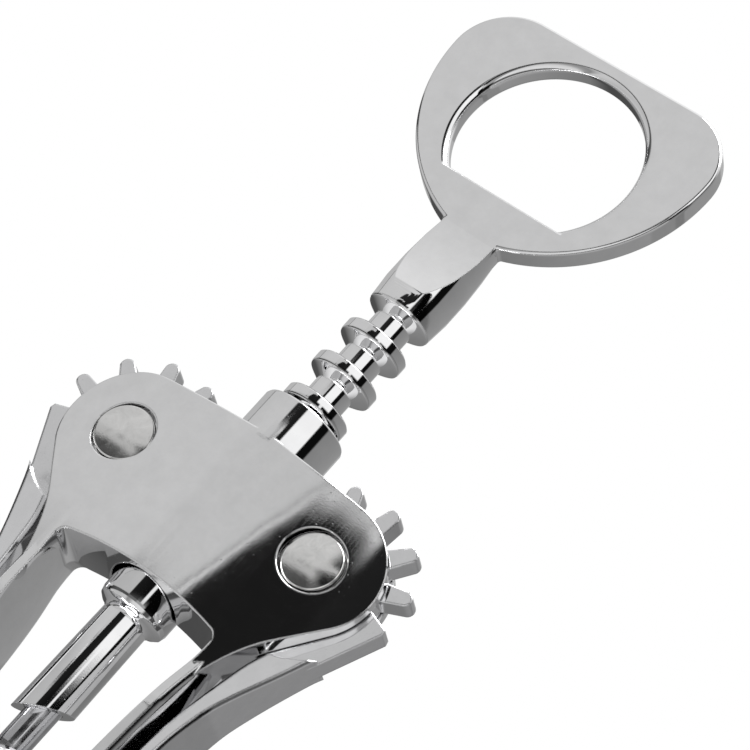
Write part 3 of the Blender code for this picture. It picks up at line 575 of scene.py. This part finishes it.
def make_opener():
    """Cutter for the opener's hole, which flares to well-rounded edges at both faces."""
    steps = 10
    half = HEAD_THICKNESS / 2
    rows = []
    for step in range(steps + 1):
        angle = math.pi / 2 * step / steps
        depth = half - OPENER_EDGE * (1 - math.sin(angle))
        flare = 1 - math.cos(angle)
        rows.append((depth, OPENER_EDGE * flare, HEAD_EDGE * flare))
    rows.append((half + OPENER_EDGE, OPENER_EDGE, HEAD_EDGE))
    rows = [(-y, spread, lip) for y, spread, lip in reversed(rows)] + rows
    return loft([[(x, y, z) for x, z in opener_outline(spread, lip)] for y, spread, lip in rows])


def make_head():
    """Opener plate with rounded outer edges and a rounded hole."""
    head = make_object("handle_spindle", prism(head_outline(), HEAD_THICKNESS, HEAD_EDGE))
    cut(head, make_opener())
    return head


def neck_top():
    centre = HEAD_WIDTH / 2 - HEAD_SIDE_RADIUS
    drop = math.sqrt(HEAD_SIDE_RADIUS ** 2 - (NECK_HALF_WIDTH - centre) ** 2)
    return HEAD_TOP - HEAD_CORNER_RADIUS - drop


def make_neck():
    """Round neck, before its front and back are scooped down to the head's thickness."""
    low, high = NECK_END, neck_top()
    length = high - low
    profile = [(0, low + 0.3 * MM), (RING_RADIUS, low + 0.3 * MM), (NECK_RADIUS, low + 0.25 * length),
               (NECK_RADIUS, low + 0.5 * length), (NECK_RADIUS - 0.25 * MM, low + 0.75 * length),
               (NECK_HALF_WIDTH, high), (NECK_HALF_WIDTH - 0.3 * MM, high + 2.5 * MM), (0, high + 2.5 * MM)]
    return lathe([(r, PIN_HEIGHT + z) for r, z in profile], ROUND_STEPS)


def make_scoop():
    """Solid between the two scooped faces; the neck is kept where it meets this."""
    low, high = NECK_END, neck_top()
    face = HEAD_THICKNESS / 2
    full = NECK_RADIUS + 0.5 * MM
    bend = (face + 1.4 * MM, low + 0.5 * (high - low))
    curve = bezier((full, low - FIT_GAP), bend, (face, high), CURVE_STEPS)
    half = [(full, low - 2 * MM)] + curve + [(face, high + 6 * MM)]
    outline = half + [(-y, z) for y, z in reversed(half)]
    reach = 2 * NECK_RADIUS
    return loft([[(x, y, PIN_HEIGHT + z) for y, z in outline] for x in (-reach, reach)])


def rack_profile():
    """Radius and height, from the pins, of the boss, the rings and the core up to the neck."""
    points = [(0, -STEM_END - 6 * MM), (STEM_END_RADIUS, -STEM_END - 6 * MM)]
    points += [(STEM_TOP_RADIUS, -BOSS_BOTTOM - 0.5 * MM), (STEM_TOP_RADIUS + 0.35 * MM, -BOSS_BOTTOM)]
    points += [(BOSS_RADIUS + x, -BOSS_BOTTOM + z) for x, z in
               ((-0.9 * MM, 0.25 * MM), (-0.25 * MM, 0.8 * MM), (0, 1.7 * MM))]
    points += [(BOSS_RADIUS, -BOSS_TOP - BOSS_EDGE), (BOSS_RADIUS - BOSS_EDGE, -BOSS_TOP)]
    points.append((CORE_RADIUS, -BOSS_TOP))
    for number in range(RING_COUNT):
        low = NECK_END - (RING_COUNT - number) * RACK_PITCH
        points += ring_underside(low)
        points += [(RING_RADIUS, low + RING_BAND - RING_EDGE), (RING_RADIUS - RING_EDGE, low + RING_BAND),
                   (CORE_RADIUS, low + RING_BAND + 0.1 * MM)]
    points += ring_underside(NECK_END)
    points += [(RING_RADIUS - 0.1 * MM, NECK_END + 1.5 * MM), (0, NECK_END + 1.5 * MM)]
    return points


def ring_underside(low):
    return [(CORE_RADIUS, low - RING_CONE), (RING_RADIUS - 0.45 * MM, low - 0.2 * MM),
            (RING_RADIUS - 0.1 * MM, low + 0.05 * MM), (RING_RADIUS, low + 0.4 * MM)]


def make_rack():
    mesh = lathe([(r, PIN_HEIGHT + z) for r, z in rack_profile()], SMALL_STEPS)
    tilt = Vector((-math.sin(STEM_SLANT), 0, math.cos(STEM_SLANT)))
    tilt.rotate(Matrix.Rotation(STEM_SLANT_TURN, 3, "Z"))
    geometry = list(mesh.verts) + list(mesh.edges) + list(mesh.faces)
    sliced = bmesh.ops.bisect_plane(mesh, geom=geometry, plane_co=(0, 0, PIN_HEIGHT - STEM_END),
                                    plane_no=tilt, clear_inner=True)
    rim = [e for e in sliced["geom_cut"] if isinstance(e, bmesh.types.BMEdge)]
    bmesh.ops.edgeloop_fill(mesh, edges=rim)
    return mesh


def make_handle(material):
    handle = make_head()
    handle.data.materials.append(material)
    neck = make_object("neck", make_neck())
    cut(neck, make_scoop(), "INTERSECT")
    cut(handle, neck, "UNION")
    cut(handle, make_rack(), "UNION")
    seat_top = PIN_HEIGHT - STEM_END + SHANK_SEAT + FIT_GAP
    seat = cylinder(SHANK_RADIUS + SHANK_GAP, PIN_HEIGHT - STEM_END - 8 * MM, seat_top)
    cut(handle, seat)
    soften(handle)
    return handle


# ---- worm

def worm_section(height):
    """Closed section of the worm at a height below the pins, as (radius, angle) pairs."""
    start = STEM_END + SHANK_LENGTH
    below = height - start
    left = WORM_TIP - height
    core = SHANK_RADIUS
    fin = 0.0
    if below > 0:
        core = SHANK_RADIUS - CORE_THINNING * min(1.0, below / (6 * MM))
        grow = min(1.0, below / (0.75 * WORM_PITCH))
        fin = (WORM_RADIUS - core) * grow
    if left < WORM_TAPER:
        share = max(left / WORM_TAPER, 0.0)
        core *= 0.08 + 0.92 * share
        fin *= share ** 0.6
    turn = 2 * math.pi * max(below, 0.0) / WORM_PITCH
    section = []
    for step in range(WORM_STEPS):
        angle = -180 + 360 * step / WORM_STEPS
        rise = 1 / (1 + (abs(angle) / 26.0) ** 3.2)
        section.append((core + fin * rise, math.radians(angle) + turn))
    return section


def make_worm(material):
    first = STEM_END - SHANK_SEAT
    start = STEM_END + SHANK_LENGTH
    heights = [first, start]
    step = WORM_PITCH / 48
    while heights[-1] + step < WORM_TIP:
        heights.append(heights[-1] + step)
    heights.append(WORM_TIP)
    sections = []
    for height in heights:
        z = PIN_HEIGHT - height
        sections.append([(r * math.cos(a), -r * math.sin(a), z) for r, a in worm_section(height)])
    worm = make_object("worm", loft(sections), material=material)
    soften(worm, angle=60)
    return worm


# ---- levers

def tooth(angle):
    """Outline of one finger tooth about the pin, listed clockwise."""
    tip_centre = TIP_RADIUS - TOOTH_WIDTH / 2
    half_root = TOOTH_ROOT_WIDTH / 2
    local = [(PINION_ROOT_RADIUS * math.cos(half_root / PINION_ROOT_RADIUS), half_root)]
    local += [(tip_centre + x, z) for x, z in arc(0, 0, TOOTH_WIDTH / 2, math.pi / 2, -math.pi / 2, 20)]
    local += [(local[0][0], -half_root)]
    cosine, sine = math.cos(angle), math.sin(angle)
    return [(x * cosine - z * sine, x * sine + z * cosine) for x, z in local]


def pinion_outline():
    """Right-hand pinion with its heel and the web into the arm, from the pin, clockwise."""
    points = []
    floor = 0.4 * (TOOTH_STEP / 2 - TOOTH_ROOT_WIDTH / 2 / PINION_ROOT_RADIUS)
    for number in reversed(range(TOOTH_COUNT)):
        angle = FIRST_TOOTH + number * TOOTH_STEP
        points += tooth(angle)
        if number:
            middle = angle - TOOTH_STEP / 2
            points += arc(0, 0, PINION_ROOT_RADIUS, middle + floor, middle - floor, 4)
    heel = TIP_RADIUS - HEEL_STEP
    points += arc(0, 0, PINION_ROOT_RADIUS, math.radians(5), math.radians(0), 1)
    points += [(heel, -1.2 * MM), (heel + 0.2 * MM, -2.0 * MM)]
    shoulder = ARM_SHOULDER + 0.3 * MM
    points += [(shoulder * math.cos(math.radians(-51)), shoulder * math.sin(math.radians(-51)))]
    points += [(6.3 * MM, -ARM_SHOULDER - 2.3 * MM), (3.3 * MM, -ARM_SHOULDER - 3.6 * MM)]
    points += [(2.9 * MM, -ARM_SHOULDER - 0.3 * MM)]
    last = FIRST_TOOTH + (TOOTH_COUNT - 1) * TOOTH_STEP + 0.2
    points += arc(0, 0, PINION_ROOT_RADIUS, math.radians(277), last, CURVE_STEPS)
    return points


def arm_rows():
    """Arm by height below the pin: inner face, outer face (from the middle plane) and width."""
    waist = leg_radius(PIN_HEIGHT / 2) + LEG_CLEARANCE
    thick = ARM_THICKNESS
    top, end = ARM_TOP_DEPTH, ARM_END_DEPTH
    middle = 0.5 * (top + end)
    length = ARM_LENGTH
    return [
        (-7.0 * MM, waist + 5.6 * MM, waist + 11.6 * MM, top),
        (-12.0 * MM, waist + 4.4 * MM, waist + 9.4 * MM, top),
        (-17.0 * MM, waist + 2.6 * MM, waist + 7.2 * MM, top + 0.6 * MM),
        (-21.2 * MM, waist + 1.75 * MM, waist + 5.4 * MM, top + 1.6 * MM),
        (-25.0 * MM, waist + 1.1 * MM, waist + 4.0 * MM, top + 2.5 * MM),
        (-29.0 * MM, waist + 0.55 * MM, waist + 3.1 * MM, top + 3.5 * MM),
        (-34.0 * MM, waist + 0.15 * MM, waist + 0.1 * MM + thick, middle),
        (-44.0 * MM, waist, waist + thick, middle + 1.6 * MM),
        (-0.66 * length, waist + 0.1 * MM, waist + 0.1 * MM + thick, end - 1.6 * MM),
        (-0.77 * length, waist + 0.13 * ARM_FLARE, waist + 0.13 * ARM_FLARE + thick, end - 0.6 * MM),
        (-0.86 * length, waist + 0.38 * ARM_FLARE, waist + 0.38 * ARM_FLARE + thick, end),
        (-0.93 * length, waist + 0.7 * ARM_FLARE, waist + 0.7 * ARM_FLARE + 1.1 * thick, end),
        (-0.965 * length, waist + 0.86 * ARM_FLARE, waist + 0.86 * ARM_FLARE + 1.15 * thick, 0.86 * end),
        (-0.99 * length, waist + 0.97 * ARM_FLARE, waist + 0.97 * ARM_FLARE + 1.15 * thick, 0.56 * end),
        (-length, waist + 1.03 * ARM_FLARE, waist + 1.03 * ARM_FLARE + thick, 0.3 * end),
    ]


def arm_section(height, inner, outer, width):
    """Rectangle with chamfered corners, in a plane of constant height."""
    half = width / 2
    edge = ARM_EDGE
    plan = [(inner, -half + edge), (inner + edge, -half), (outer - edge, -half), (outer, -half + edge),
            (outer, half - edge), (outer - edge, half), (inner + edge, half), (inner, half - edge)]
    return [(x, y, PIN_HEIGHT + height) for x, y in plan]


def make_lever(name, side, material):
    """Pinion and arm in one casting; the left lever is the right one's mirror image."""
    pin = Vector((HALF_SPACING, 0, PIN_HEIGHT))
    rows = arm_rows()
    length = rows[-1][0] - rows[0][0]
    heights = [rows[0][0] + length * step / ARM_ROWS for step in range(ARM_ROWS + 1)]
    arm = make_object("arm", loft([arm_section(height, *blend(rows, height)) for height in heights]))
    half_arm = ARM_END_DEPTH
    cut(arm, cylinder(ARM_SHOULDER, -half_arm, half_arm, ROUND_STEPS * 2, "Y", pin))
    pinion = prism([(pin.x + x, pin.z + z) for x, z in pinion_outline()], PINION_THICKNESS)
    lever = make_object(name, pinion, material=material)
    cut(lever, arm, "UNION")
    bore = cylinder(RIVET_RADIUS + RUNNING_GAP, -PLATE_DEPTH, PLATE_DEPTH, SMALL_STEPS, "Y", pin)
    cut(lever, bore)
    mesh = bmesh.new()
    mesh.from_mesh(lever.data)
    if side < 0:
        bmesh.ops.scale(mesh, vec=(-1, 1, 1), verts=mesh.verts)
        bmesh.ops.reverse_faces(mesh, faces=mesh.faces)
    mesh.to_mesh(lever.data)
    mesh.free()
    soften(lever)
    return lever


# ---- rivets and guide

def make_rivet(name, side, material):
    """Pin that a lever turns on, with a low domed head at the front and the back."""
    rim = SEAT_HALF - RIVET_RECESS
    under = rim - RIVET_HEAD_HEIGHT
    half = [(RIVET_RADIUS, under), (RIVET_HEAD_RADIUS, under), (RIVET_HEAD_RADIUS, rim - 0.2 * MM),
            (RIVET_HEAD_RADIUS - 0.2 * MM, rim), (0.55 * RIVET_HEAD_RADIUS, rim + 0.7 * RIVET_DOME),
            (0, rim + RIVET_DOME)]
    profile = [(r, -y) for r, y in reversed(half)] + half
    centre = (side * HALF_SPACING, 0, PIN_HEIGHT)
    rivet = make_object(name, lathe(profile, SMALL_STEPS, "Y", centre), material=material)
    soften(rivet, 0.15 * MM)
    return rivet


def make_guide(material):
    """Nylon bush that snaps into the bell's crown and turns with the worm."""
    outer = GUIDE_HOLE_RADIUS - FIT_GAP
    inner = outer - GUIDE_WALL
    flange_top = CROWN_BOTTOM - FIT_GAP
    lip_low = CROWN_TOP + FIT_GAP
    lip = GUIDE_HOLE_RADIUS + GUIDE_LIP
    profile = [(inner + 0.4 * MM, flange_top - GUIDE_FLANGE), (lip + 1.6 * MM, flange_top - GUIDE_FLANGE),
               (lip + 1.6 * MM, flange_top), (outer, flange_top), (outer, lip_low), (lip, lip_low),
               (lip, lip_low + 0.4 * MM), (outer, lip_low + GUIDE_FLANGE),
               (inner + 0.4 * MM, lip_low + GUIDE_FLANGE), (inner, lip_low + GUIDE_FLANGE - 0.4 * MM),
               (inner, flange_top - GUIDE_FLANGE + 0.4 * MM)]
    guide = make_object("worm_guide", lathe(profile, ROUND_STEPS), material=material)
    soften(guide, 0.15 * MM)
    return guide


# ---- finishes

NOISE_LOW, NOISE_HIGH = 0.3, 0.7  # most of a noise's values lie between these
FLAT_EDGE, SHARP_EDGE = 0.52, 0.62  # pointiness where wear starts and where it is full
LINE_RELIEF = 0.0006  # polishing lines on plating, in millimetres
GRAIN_RELIEF = 0.0004  # its finest grain
CORNER_SAMPLES = 6


class Nodes:
    """Adds nodes to the tree of a material or of the world."""

    def __init__(self, tree):
        self.nodes = tree.nodes
        self.links = tree.links

    def feed(self, socket, value):
        """Give an input another node's output or a plain value."""
        if isinstance(value, bpy.types.NodeSocket):
            self.links.new(value, socket)
        else:
            socket.default_value = value

    def node(self, kind, **values):
        """Add a node and feed the inputs named, with underscores for the spaces in their names."""
        item = self.nodes.new(kind)
        for name, value in values.items():
            self.feed(item.inputs[name.replace("_", " ")], value)
        return item

    def remap(self, value, low, high, new_low=0.0, new_high=1.0, kind="LINEAR"):
        item = self.node("ShaderNodeMapRange", Value=value, From_Min=low, From_Max=high,
                         To_Min=new_low, To_Max=new_high)
        item.interpolation_type = kind
        return item.outputs["Result"]

    def math(self, operation, *values):
        item = self.nodes.new("ShaderNodeMath")
        item.operation = operation
        for socket, value in zip(item.inputs, values):
            self.feed(socket, value)
        return item.outputs["Value"]


class Finish(Nodes):
    """A Principled material with helpers that add its procedural detail."""

    def __init__(self, name, colour, metallic, roughness):
        self.material = bpy.data.materials.new(name)
        self.material.use_nodes = True
        self.material.diffuse_color = (*colour, 1.0)
        super().__init__(self.material.node_tree)
        self.shader = self.nodes["Principled BSDF"]
        self.shader.inputs["Base Color"].default_value = (*colour, 1.0)
        self.shader.inputs["Metallic"].default_value = metallic
        self.rough(roughness)
        self.place = self.node("ShaderNodeTexCoord").outputs["Object"]
        self.normal = None

    def rough(self, value):
        self.feed(self.shader.inputs["Roughness"], value)

    def shade(self, normal):
        """Light the surface by this normal."""
        self.normal = normal
        self.feed(self.shader.inputs["Normal"], normal)

    def round_corners(self, radius):
        """Let light bend round the sharp edges as if they had this radius."""
        item = self.node("ShaderNodeBevel", Radius=radius)
        item.samples = CORNER_SAMPLES
        self.shade(item.outputs["Normal"])

    def scaled(self, stretch):
        """Coordinates in millimetres, stretched along the axes."""
        scale = [s * (1 / MM) for s in stretch]
        return self.node("ShaderNodeMapping", Vector=self.place, Scale=scale).outputs["Vector"]

    def noise(self, stretch, detail=3.0, roughness=0.55, distortion=0.0):
        return self.node("ShaderNodeTexNoise", Vector=self.scaled(stretch), Scale=1.0, Detail=detail,
                         Roughness=roughness, Distortion=distortion).outputs["Fac"]

    def pits(self, spacing, size):
        """Small round pits, spacing in millimetres: 1 in the middle of a pit, 0 between them."""
        cells = self.node("ShaderNodeTexVoronoi", Vector=self.scaled([1 / spacing] * 3), Scale=1.0)
        return self.remap(cells.outputs["Distance"], 0.0, size, 1.0, 0.0)

    def bump(self, height, distance):
        """Add one layer of relief, distance in millimetres."""
        item = self.node("ShaderNodeBump", Height=height, Distance=distance * MM)
        if self.normal:
            self.feed(item.inputs["Normal"], self.normal)
        self.shade(item.outputs["Normal"])

    def tint(self, value, share, colour):
        """Colour the surface from a darker share of the colour up to the colour itself."""
        item = self.node("ShaderNodeValToRGB", Fac=value)
        dark, light = item.color_ramp.elements
        dark.color = (*(share * c for c in colour), 1.0)
        light.color = (*colour, 1.0)
        dark.position = NOISE_LOW
        light.position = NOISE_HIGH
        self.feed(self.shader.inputs["Base Color"], item.outputs["Color"])

    def wear(self, most):
        """Extra roughness: most on convex edges, none on flat and hollow stretches."""
        sharp = self.node("ShaderNodeNewGeometry").outputs["Pointiness"]
        return self.remap(sharp, FLAT_EDGE, SHARP_EDGE, 0.0, most)


def plated(name, colour, low, high, waves, pitting, corner):
    """Chrome on a die casting: slow waves, polishing lines, pits, and duller worn edges."""
    finish = Finish(name, colour, 1.0, low)
    finish.round_corners(corner)
    slow = finish.noise((0.11, 0.11, 0.11), detail=1.0)
    haze = finish.noise((0.35, 0.35, 0.35), detail=5.0, roughness=0.65)
    lines = finish.noise((0.5, 6.0, 0.35), detail=4.0, roughness=0.7)
    grain = finish.noise((5.0, 5.0, 5.0), detail=2.0)
    finish.bump(slow, waves)
    finish.bump(lines, LINE_RELIEF)
    finish.bump(grain, GRAIN_RELIEF)
    finish.bump(finish.pits(spacing=0.9, size=0.16), -pitting)
    dull = finish.remap(haze, 0.35, 0.75, low, high)
    fine = finish.remap(lines, NOISE_LOW, NOISE_HIGH, 0.0, 0.01)
    finish.rough(finish.math("ADD", finish.math("ADD", dull, fine), finish.wear(0.05)))
    finish.tint(haze, 0.93, colour)
    return finish.material


def bright_steel(name, colour):
    """Turned and riveted steel under thin plating: cloudy, with short scratches."""
    finish = Finish(name, colour, 1.0, 0.2)
    clouds = finish.noise((0.45, 0.45, 0.45), detail=6.0, roughness=0.7, distortion=0.6)
    scratches = finish.noise((1.2, 1.2, 9.0), detail=4.0, roughness=0.75)
    finish.bump(clouds, 0.006)
    finish.bump(scratches, 0.0012)
    finish.bump(finish.pits(spacing=0.5, size=0.2), -0.002)
    finish.rough(finish.remap(clouds, NOISE_LOW, NOISE_HIGH, 0.04, 0.13))
    finish.tint(clouds, 0.82, colour)
    return finish.material


def drawn_steel(name, colour):
    """The worm: drawn wire with forming lines along it, rougher on the crest."""
    finish = Finish(name, colour, 1.0, 0.12)
    along = finish.noise((3.0, 3.0, 0.4), detail=4.0, roughness=0.7)
    haze = finish.noise((0.5, 0.5, 0.5), detail=4.0)
    finish.bump(along, 0.002)
    finish.bump(finish.pits(spacing=0.7, size=0.15), -0.002)
    dull = finish.remap(haze, NOISE_LOW, NOISE_HIGH, 0.07, 0.2)
    finish.rough(finish.math("ADD", dull, finish.wear(0.08)))
    finish.tint(haze, 0.85, colour)
    return finish.material


def nylon(name, colour):
    """Moulded black nylon with a fine spark texture and faint flow marks."""
    finish = Finish(name, colour, 0.0, 0.42)
    spark = finish.noise((6.0, 6.0, 6.0), detail=3.0, roughness=0.7)
    flow = finish.noise((0.4, 0.4, 1.2), detail=3.0)
    finish.bump(spark, 0.008)
    finish.bump(flow, 0.01)
    finish.rough(finish.remap(flow, NOISE_LOW, NOISE_HIGH, 0.36, 0.52))
    finish.tint(flow, 0.8, colour)
    return finish.material


# ---- studio

# Brightness of the surroundings in four rows, from the top down, on a display scale, by azimuth
# in degrees from straight ahead of the front (-Y) towards +X.
UPPER_BANDS = (
    (-180, 0.70), (-99, 0.74), (-97, 0.35), (-95, 0.78), (-19.5, 0.80), (-17.5, 0.17), (10.0, 0.13),
    (12.0, 1.0), (58.0, 1.0), (60.0, 0.08), (81.0, 0.08), (84.0, 0.52), (180, 0.60),
)
LOWER_BANDS = (
    (-180, 0.62), (-99, 0.62), (-97, 0.2), (-95, 0.70), (-19.5, 0.74), (-17.5, 0.13), (22.0, 0.08),
    (24.0, 0.95), (31.0, 0.95), (33.0, 0.05), (81.0, 0.05), (84.0, 0.42), (180, 0.52),
)
TABLE_BANDS = (
    (-180, 0.5), (-165, 0.48), (-150, 0.3), (-110, 0.3), (-96, 0.15), (-60, 0.35), (-20, 0.3), (-16, 0.4),
    (10.0, 0.42), (14.0, 0.6), (40.0, 0.65), (45.0, 0.06), (75.0, 0.1), (85.0, 0.5), (130, 0.55), (180, 0.5),
)
GROUND_BANDS = (
    (-180, 0.5), (-166, 0.48), (-152, 0.3), (-130, 0.32), (-112, 0.6), (-80, 0.78), (-50, 0.74), (-22, 0.80),
    (-14, 0.55), (-6, 0.62), (6, 0.84), (30, 0.9), (44, 0.88), (52, 0.3), (66, 0.34), (74, 0.72), (120, 0.62),
    (180, 0.5),
)
# each row above the ground's: its lower edge, and how far it blends to each side of that, in degrees
ROWS = ((TABLE_BANDS, -0.5, 0.9), (LOWER_BANDS, 9.5, 0.8), (UPPER_BANDS, 13.4, 0.6))
FILL_LIGHT = 0.92  # even light on matt surfaces
CEILING = (34.0, 60.0)  # the rows blend into the ceiling between these elevations
CEILING_LIGHT = 0.95

# The dark card's wavy top edge, seen in the right half of the front plate
CARD_LOW = 13.1  # its elevation at the left end
CARD_RISE = 3.4  # from there up to the right end
CARD_TURN = (-22.5, -12.5)  # it rises between these azimuths
CARD_WAVE = 0.7  # height of the waves
CARD_LEFT, CARD_RIGHT = (-31.0, -29.0), (0.0, -2.0)  # azimuths over which it fades in
CARD_OVER, CARD_UNDER = (19.0, 18.0), (12.6, 13.2)  # elevations over which it fades in
# brightness across the card's edge, by degrees above it
CARD_EDGE = (
    (-0.15, 0.13), (-0.05, 0.3), (0.05, 0.5), (0.2, 0.4), (0.3, 0.86), (0.5, 0.88), (0.65, 0.55), (0.95, 0.78),
)
CARD_SPAN = 2.0  # the look-up across the edge reaches this far each way


def display(value):
    """Linear light for a brightness on the display scale."""
    return value ** 2.2


class World(Nodes):
    """The world's nodes: a studio seen in the reflections, plain white to the camera."""

    def __init__(self):
        world = bpy.data.worlds.new("studio")
        world.use_nodes = True
        bpy.context.scene.world = world
        super().__init__(world.node_tree)
        self.background = self.nodes["Background"]
        self.direction = self.node("ShaderNodeTexCoord").outputs["Generated"]
        self.x, self.y, self.z = self.node("ShaderNodeSeparateXYZ", Vector=self.direction).outputs

    def smooth(self, value, low, high):
        """0 at low and 1 at high, with an S-shaped rise between them."""
        return self.remap(value, low, high, kind="SMOOTHSTEP")

    def mix(self, share, first, second):
        """first + share * (second - first)."""
        return self.math("MULTIPLY_ADD", share, self.math("SUBTRACT", second, first), first)

    def waves(self, scale, detail):
        """Noise about 0, by direction."""
        texture = self.node("ShaderNodeTexNoise", Vector=self.direction, Scale=scale, Detail=detail)
        return self.math("SUBTRACT", texture.outputs["Fac"], 0.5)

    def ramp(self, value, stops, low, high):
        """Brightness looked up in (position, display value) stops."""
        item = self.node("ShaderNodeValToRGB")
        ramp = item.color_ramp
        while len(ramp.elements) < len(stops):
            ramp.elements.new(0.5)
        for element, (position, brightness) in zip(ramp.elements, stops):
            element.position = (position - low) / (high - low)
            element.color = (display(brightness),) * 3 + (1.0,)
        span = high - low
        self.feed(item.inputs["Fac"], self.math("MULTIPLY_ADD", value, 1 / span, -low / span))
        return item.outputs["Color"]


def make_world():
    """Cards and soft boxes in four rows around the object, under a bright ceiling."""
    world = World()
    ahead = world.math("MULTIPLY", world.y, -1.0)
    azimuth = world.math("MULTIPLY", world.math("ARCTAN2", world.x, ahead), math.degrees(1))
    elevation = world.math("MULTIPLY", world.math("ARCSINE", world.z), math.degrees(1))
    light = world.ramp(azimuth, GROUND_BANDS, -180, 180)
    for bands, edge, soft in ROWS:
        row = world.ramp(azimuth, bands, -180, 180)
        light = world.mix(world.smooth(elevation, edge - soft, edge + soft), light, row)

    edge = world.math("MULTIPLY_ADD", world.smooth(azimuth, *CARD_TURN), CARD_RISE, CARD_LOW)
    edge = world.math("MULTIPLY_ADD", world.waves(9.0, 3.0), CARD_WAVE, edge)
    card = world.ramp(world.math("SUBTRACT", elevation, edge), CARD_EDGE, -CARD_SPAN, CARD_SPAN)
    across = world.math("MULTIPLY", world.smooth(azimuth, *CARD_LEFT), world.smooth(azimuth, *CARD_RIGHT))
    band = world.math("MULTIPLY", world.smooth(elevation, *CARD_OVER), world.smooth(elevation, *CARD_UNDER))
    light = world.mix(world.math("MULTIPLY", across, band), light, card)

    light = world.mix(world.smooth(elevation, *CEILING), light, CEILING_LIGHT)
    path = world.node("ShaderNodeLightPath").outputs
    light = world.mix(path["Is Diffuse Ray"], light, FILL_LIGHT)
    light = world.mix(path["Is Camera Ray"], light, 1.0)
    world.feed(world.background.inputs["Color"], light)


FLOOR_RADIUS = 1.6
FLOOR_DROP = 0.2 * MM  # the paper lies this far under the bell


def make_floor():
    """Pale paper that shows only its upper side, because the camera looks up from below it."""
    finish = Finish("floor_paper", (0.86, 0.86, 0.855), 0.0, 0.7)
    finish.bump(finish.noise((0.2, 0.2, 0.2), detail=4.0), 0.02)
    back = finish.node("ShaderNodeNewGeometry").outputs["Backfacing"]
    mixer = finish.node("ShaderNodeMixShader", Fac=back)
    finish.feed(mixer.inputs[1], finish.shader.outputs["BSDF"])
    finish.feed(mixer.inputs[2], finish.node("ShaderNodeBsdfTransparent").outputs["BSDF"])
    finish.feed(finish.nodes["Material Output"].inputs["Surface"], mixer.outputs["Shader"])
    disc = bmesh.new()
    bmesh.ops.create_circle(disc, cap_ends=True, segments=SMALL_STEPS, radius=FLOOR_RADIUS)
    bmesh.ops.translate(disc, verts=disc.verts, vec=(0, 0, -FLOOR_DROP))
    mesh = bpy.data.meshes.new("floor")
    disc.to_mesh(mesh)
    disc.free()
    mesh.materials.append(finish.material)
    floor = add_item("floor", mesh)
    floor.visible_glossy = False


def make_light(name, spot, size, power):
    """Round soft light that points at the origin."""
    data = bpy.data.lights.new(name, "AREA")
    data.shape = "DISK"
    data.size = size
    data.energy = power
    item = add_item(name, data)
    item.location = spot
    item.rotation_euler = (-Vector(spot)).to_track_quat("-Z", "Y").to_euler()


CAMERA_TARGET = (3.14 * MM, 0, 119.9 * MM)
CAMERA_DISTANCE = 491.3 * MM
CAMERA_RIGHT = (0.761, 0.138, 0.634)
CAMERA_BACK = (0.423, -0.847, -0.323)
CAMERA_FOCAL = 3434 / 750  # focal length over the frame's width


def make_camera():
    back = Vector(CAMERA_BACK).normalized()
    right = Vector(CAMERA_RIGHT)
    right = (right - back * right.dot(back)).normalized()
    turn = Matrix((right, back.cross(right), back)).transposed()
    data = bpy.data.cameras.new("camera")
    data.sensor_width = 36.0
    data.lens = data.sensor_width * CAMERA_FOCAL
    data.clip_start = 0.01
    data.clip_end = 10
    camera = add_item("camera", data)
    spot = Vector(CAMERA_TARGET) + back * CAMERA_DISTANCE
    camera.matrix_world = Matrix.Translation(spot) @ turn.to_4x4()
    bpy.context.scene.camera = camera


# ---- assembly

def place(piece, node, body):
    """Show a fine piece in the place of its CAD node."""
    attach(piece, body)
    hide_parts(node)


make_camera()
make_world()
make_floor()
make_light("overhead", (0.1, -0.25, 0.9), size=0.7, power=6.0)

frame_chrome = plated("frame_plating", (0.90, 0.90, 0.905), low=0.006, high=0.022, waves=0.008,
                      pitting=0.0012, corner=0.4 * MM)
handle_chrome = plated("handle_plating", (0.92, 0.92, 0.925), low=0.006, high=0.022, waves=0.008,
                       pitting=0.001, corner=0.2 * MM)
lever_chrome = plated("lever_plating", (0.86, 0.86, 0.87), low=0.02, high=0.09, waves=0.03,
                      pitting=0.003, corner=0.45 * MM)
worm_steel = drawn_steel("worm_wire", (0.80, 0.80, 0.82))
guide_nylon = nylon("guide_nylon_moulded", (0.028, 0.028, 0.03))
rivet_steel = bright_steel("rivet_metal", (0.96, 0.955, 0.945))

place(make_frame(frame_chrome), "frame", "frame_body")
place(make_handle(handle_chrome), "handle_spindle", "spindle_body")
place(make_worm(worm_steel), "worm", "spindle_body")
place(make_guide(guide_nylon), "worm_guide", "guide_body")
for side_name, side in (("left", -1), ("right", 1)):
    lever, rivet = side_name + "_lever", side_name + "_rivet"
    place(make_lever(lever, side, lever_chrome), lever, side_name + "_lever_body")
    place(make_rivet(rivet, side, rivet_steel), rivet, "frame_body")

bpy.context.scene.view_settings.view_transform = "Standard"
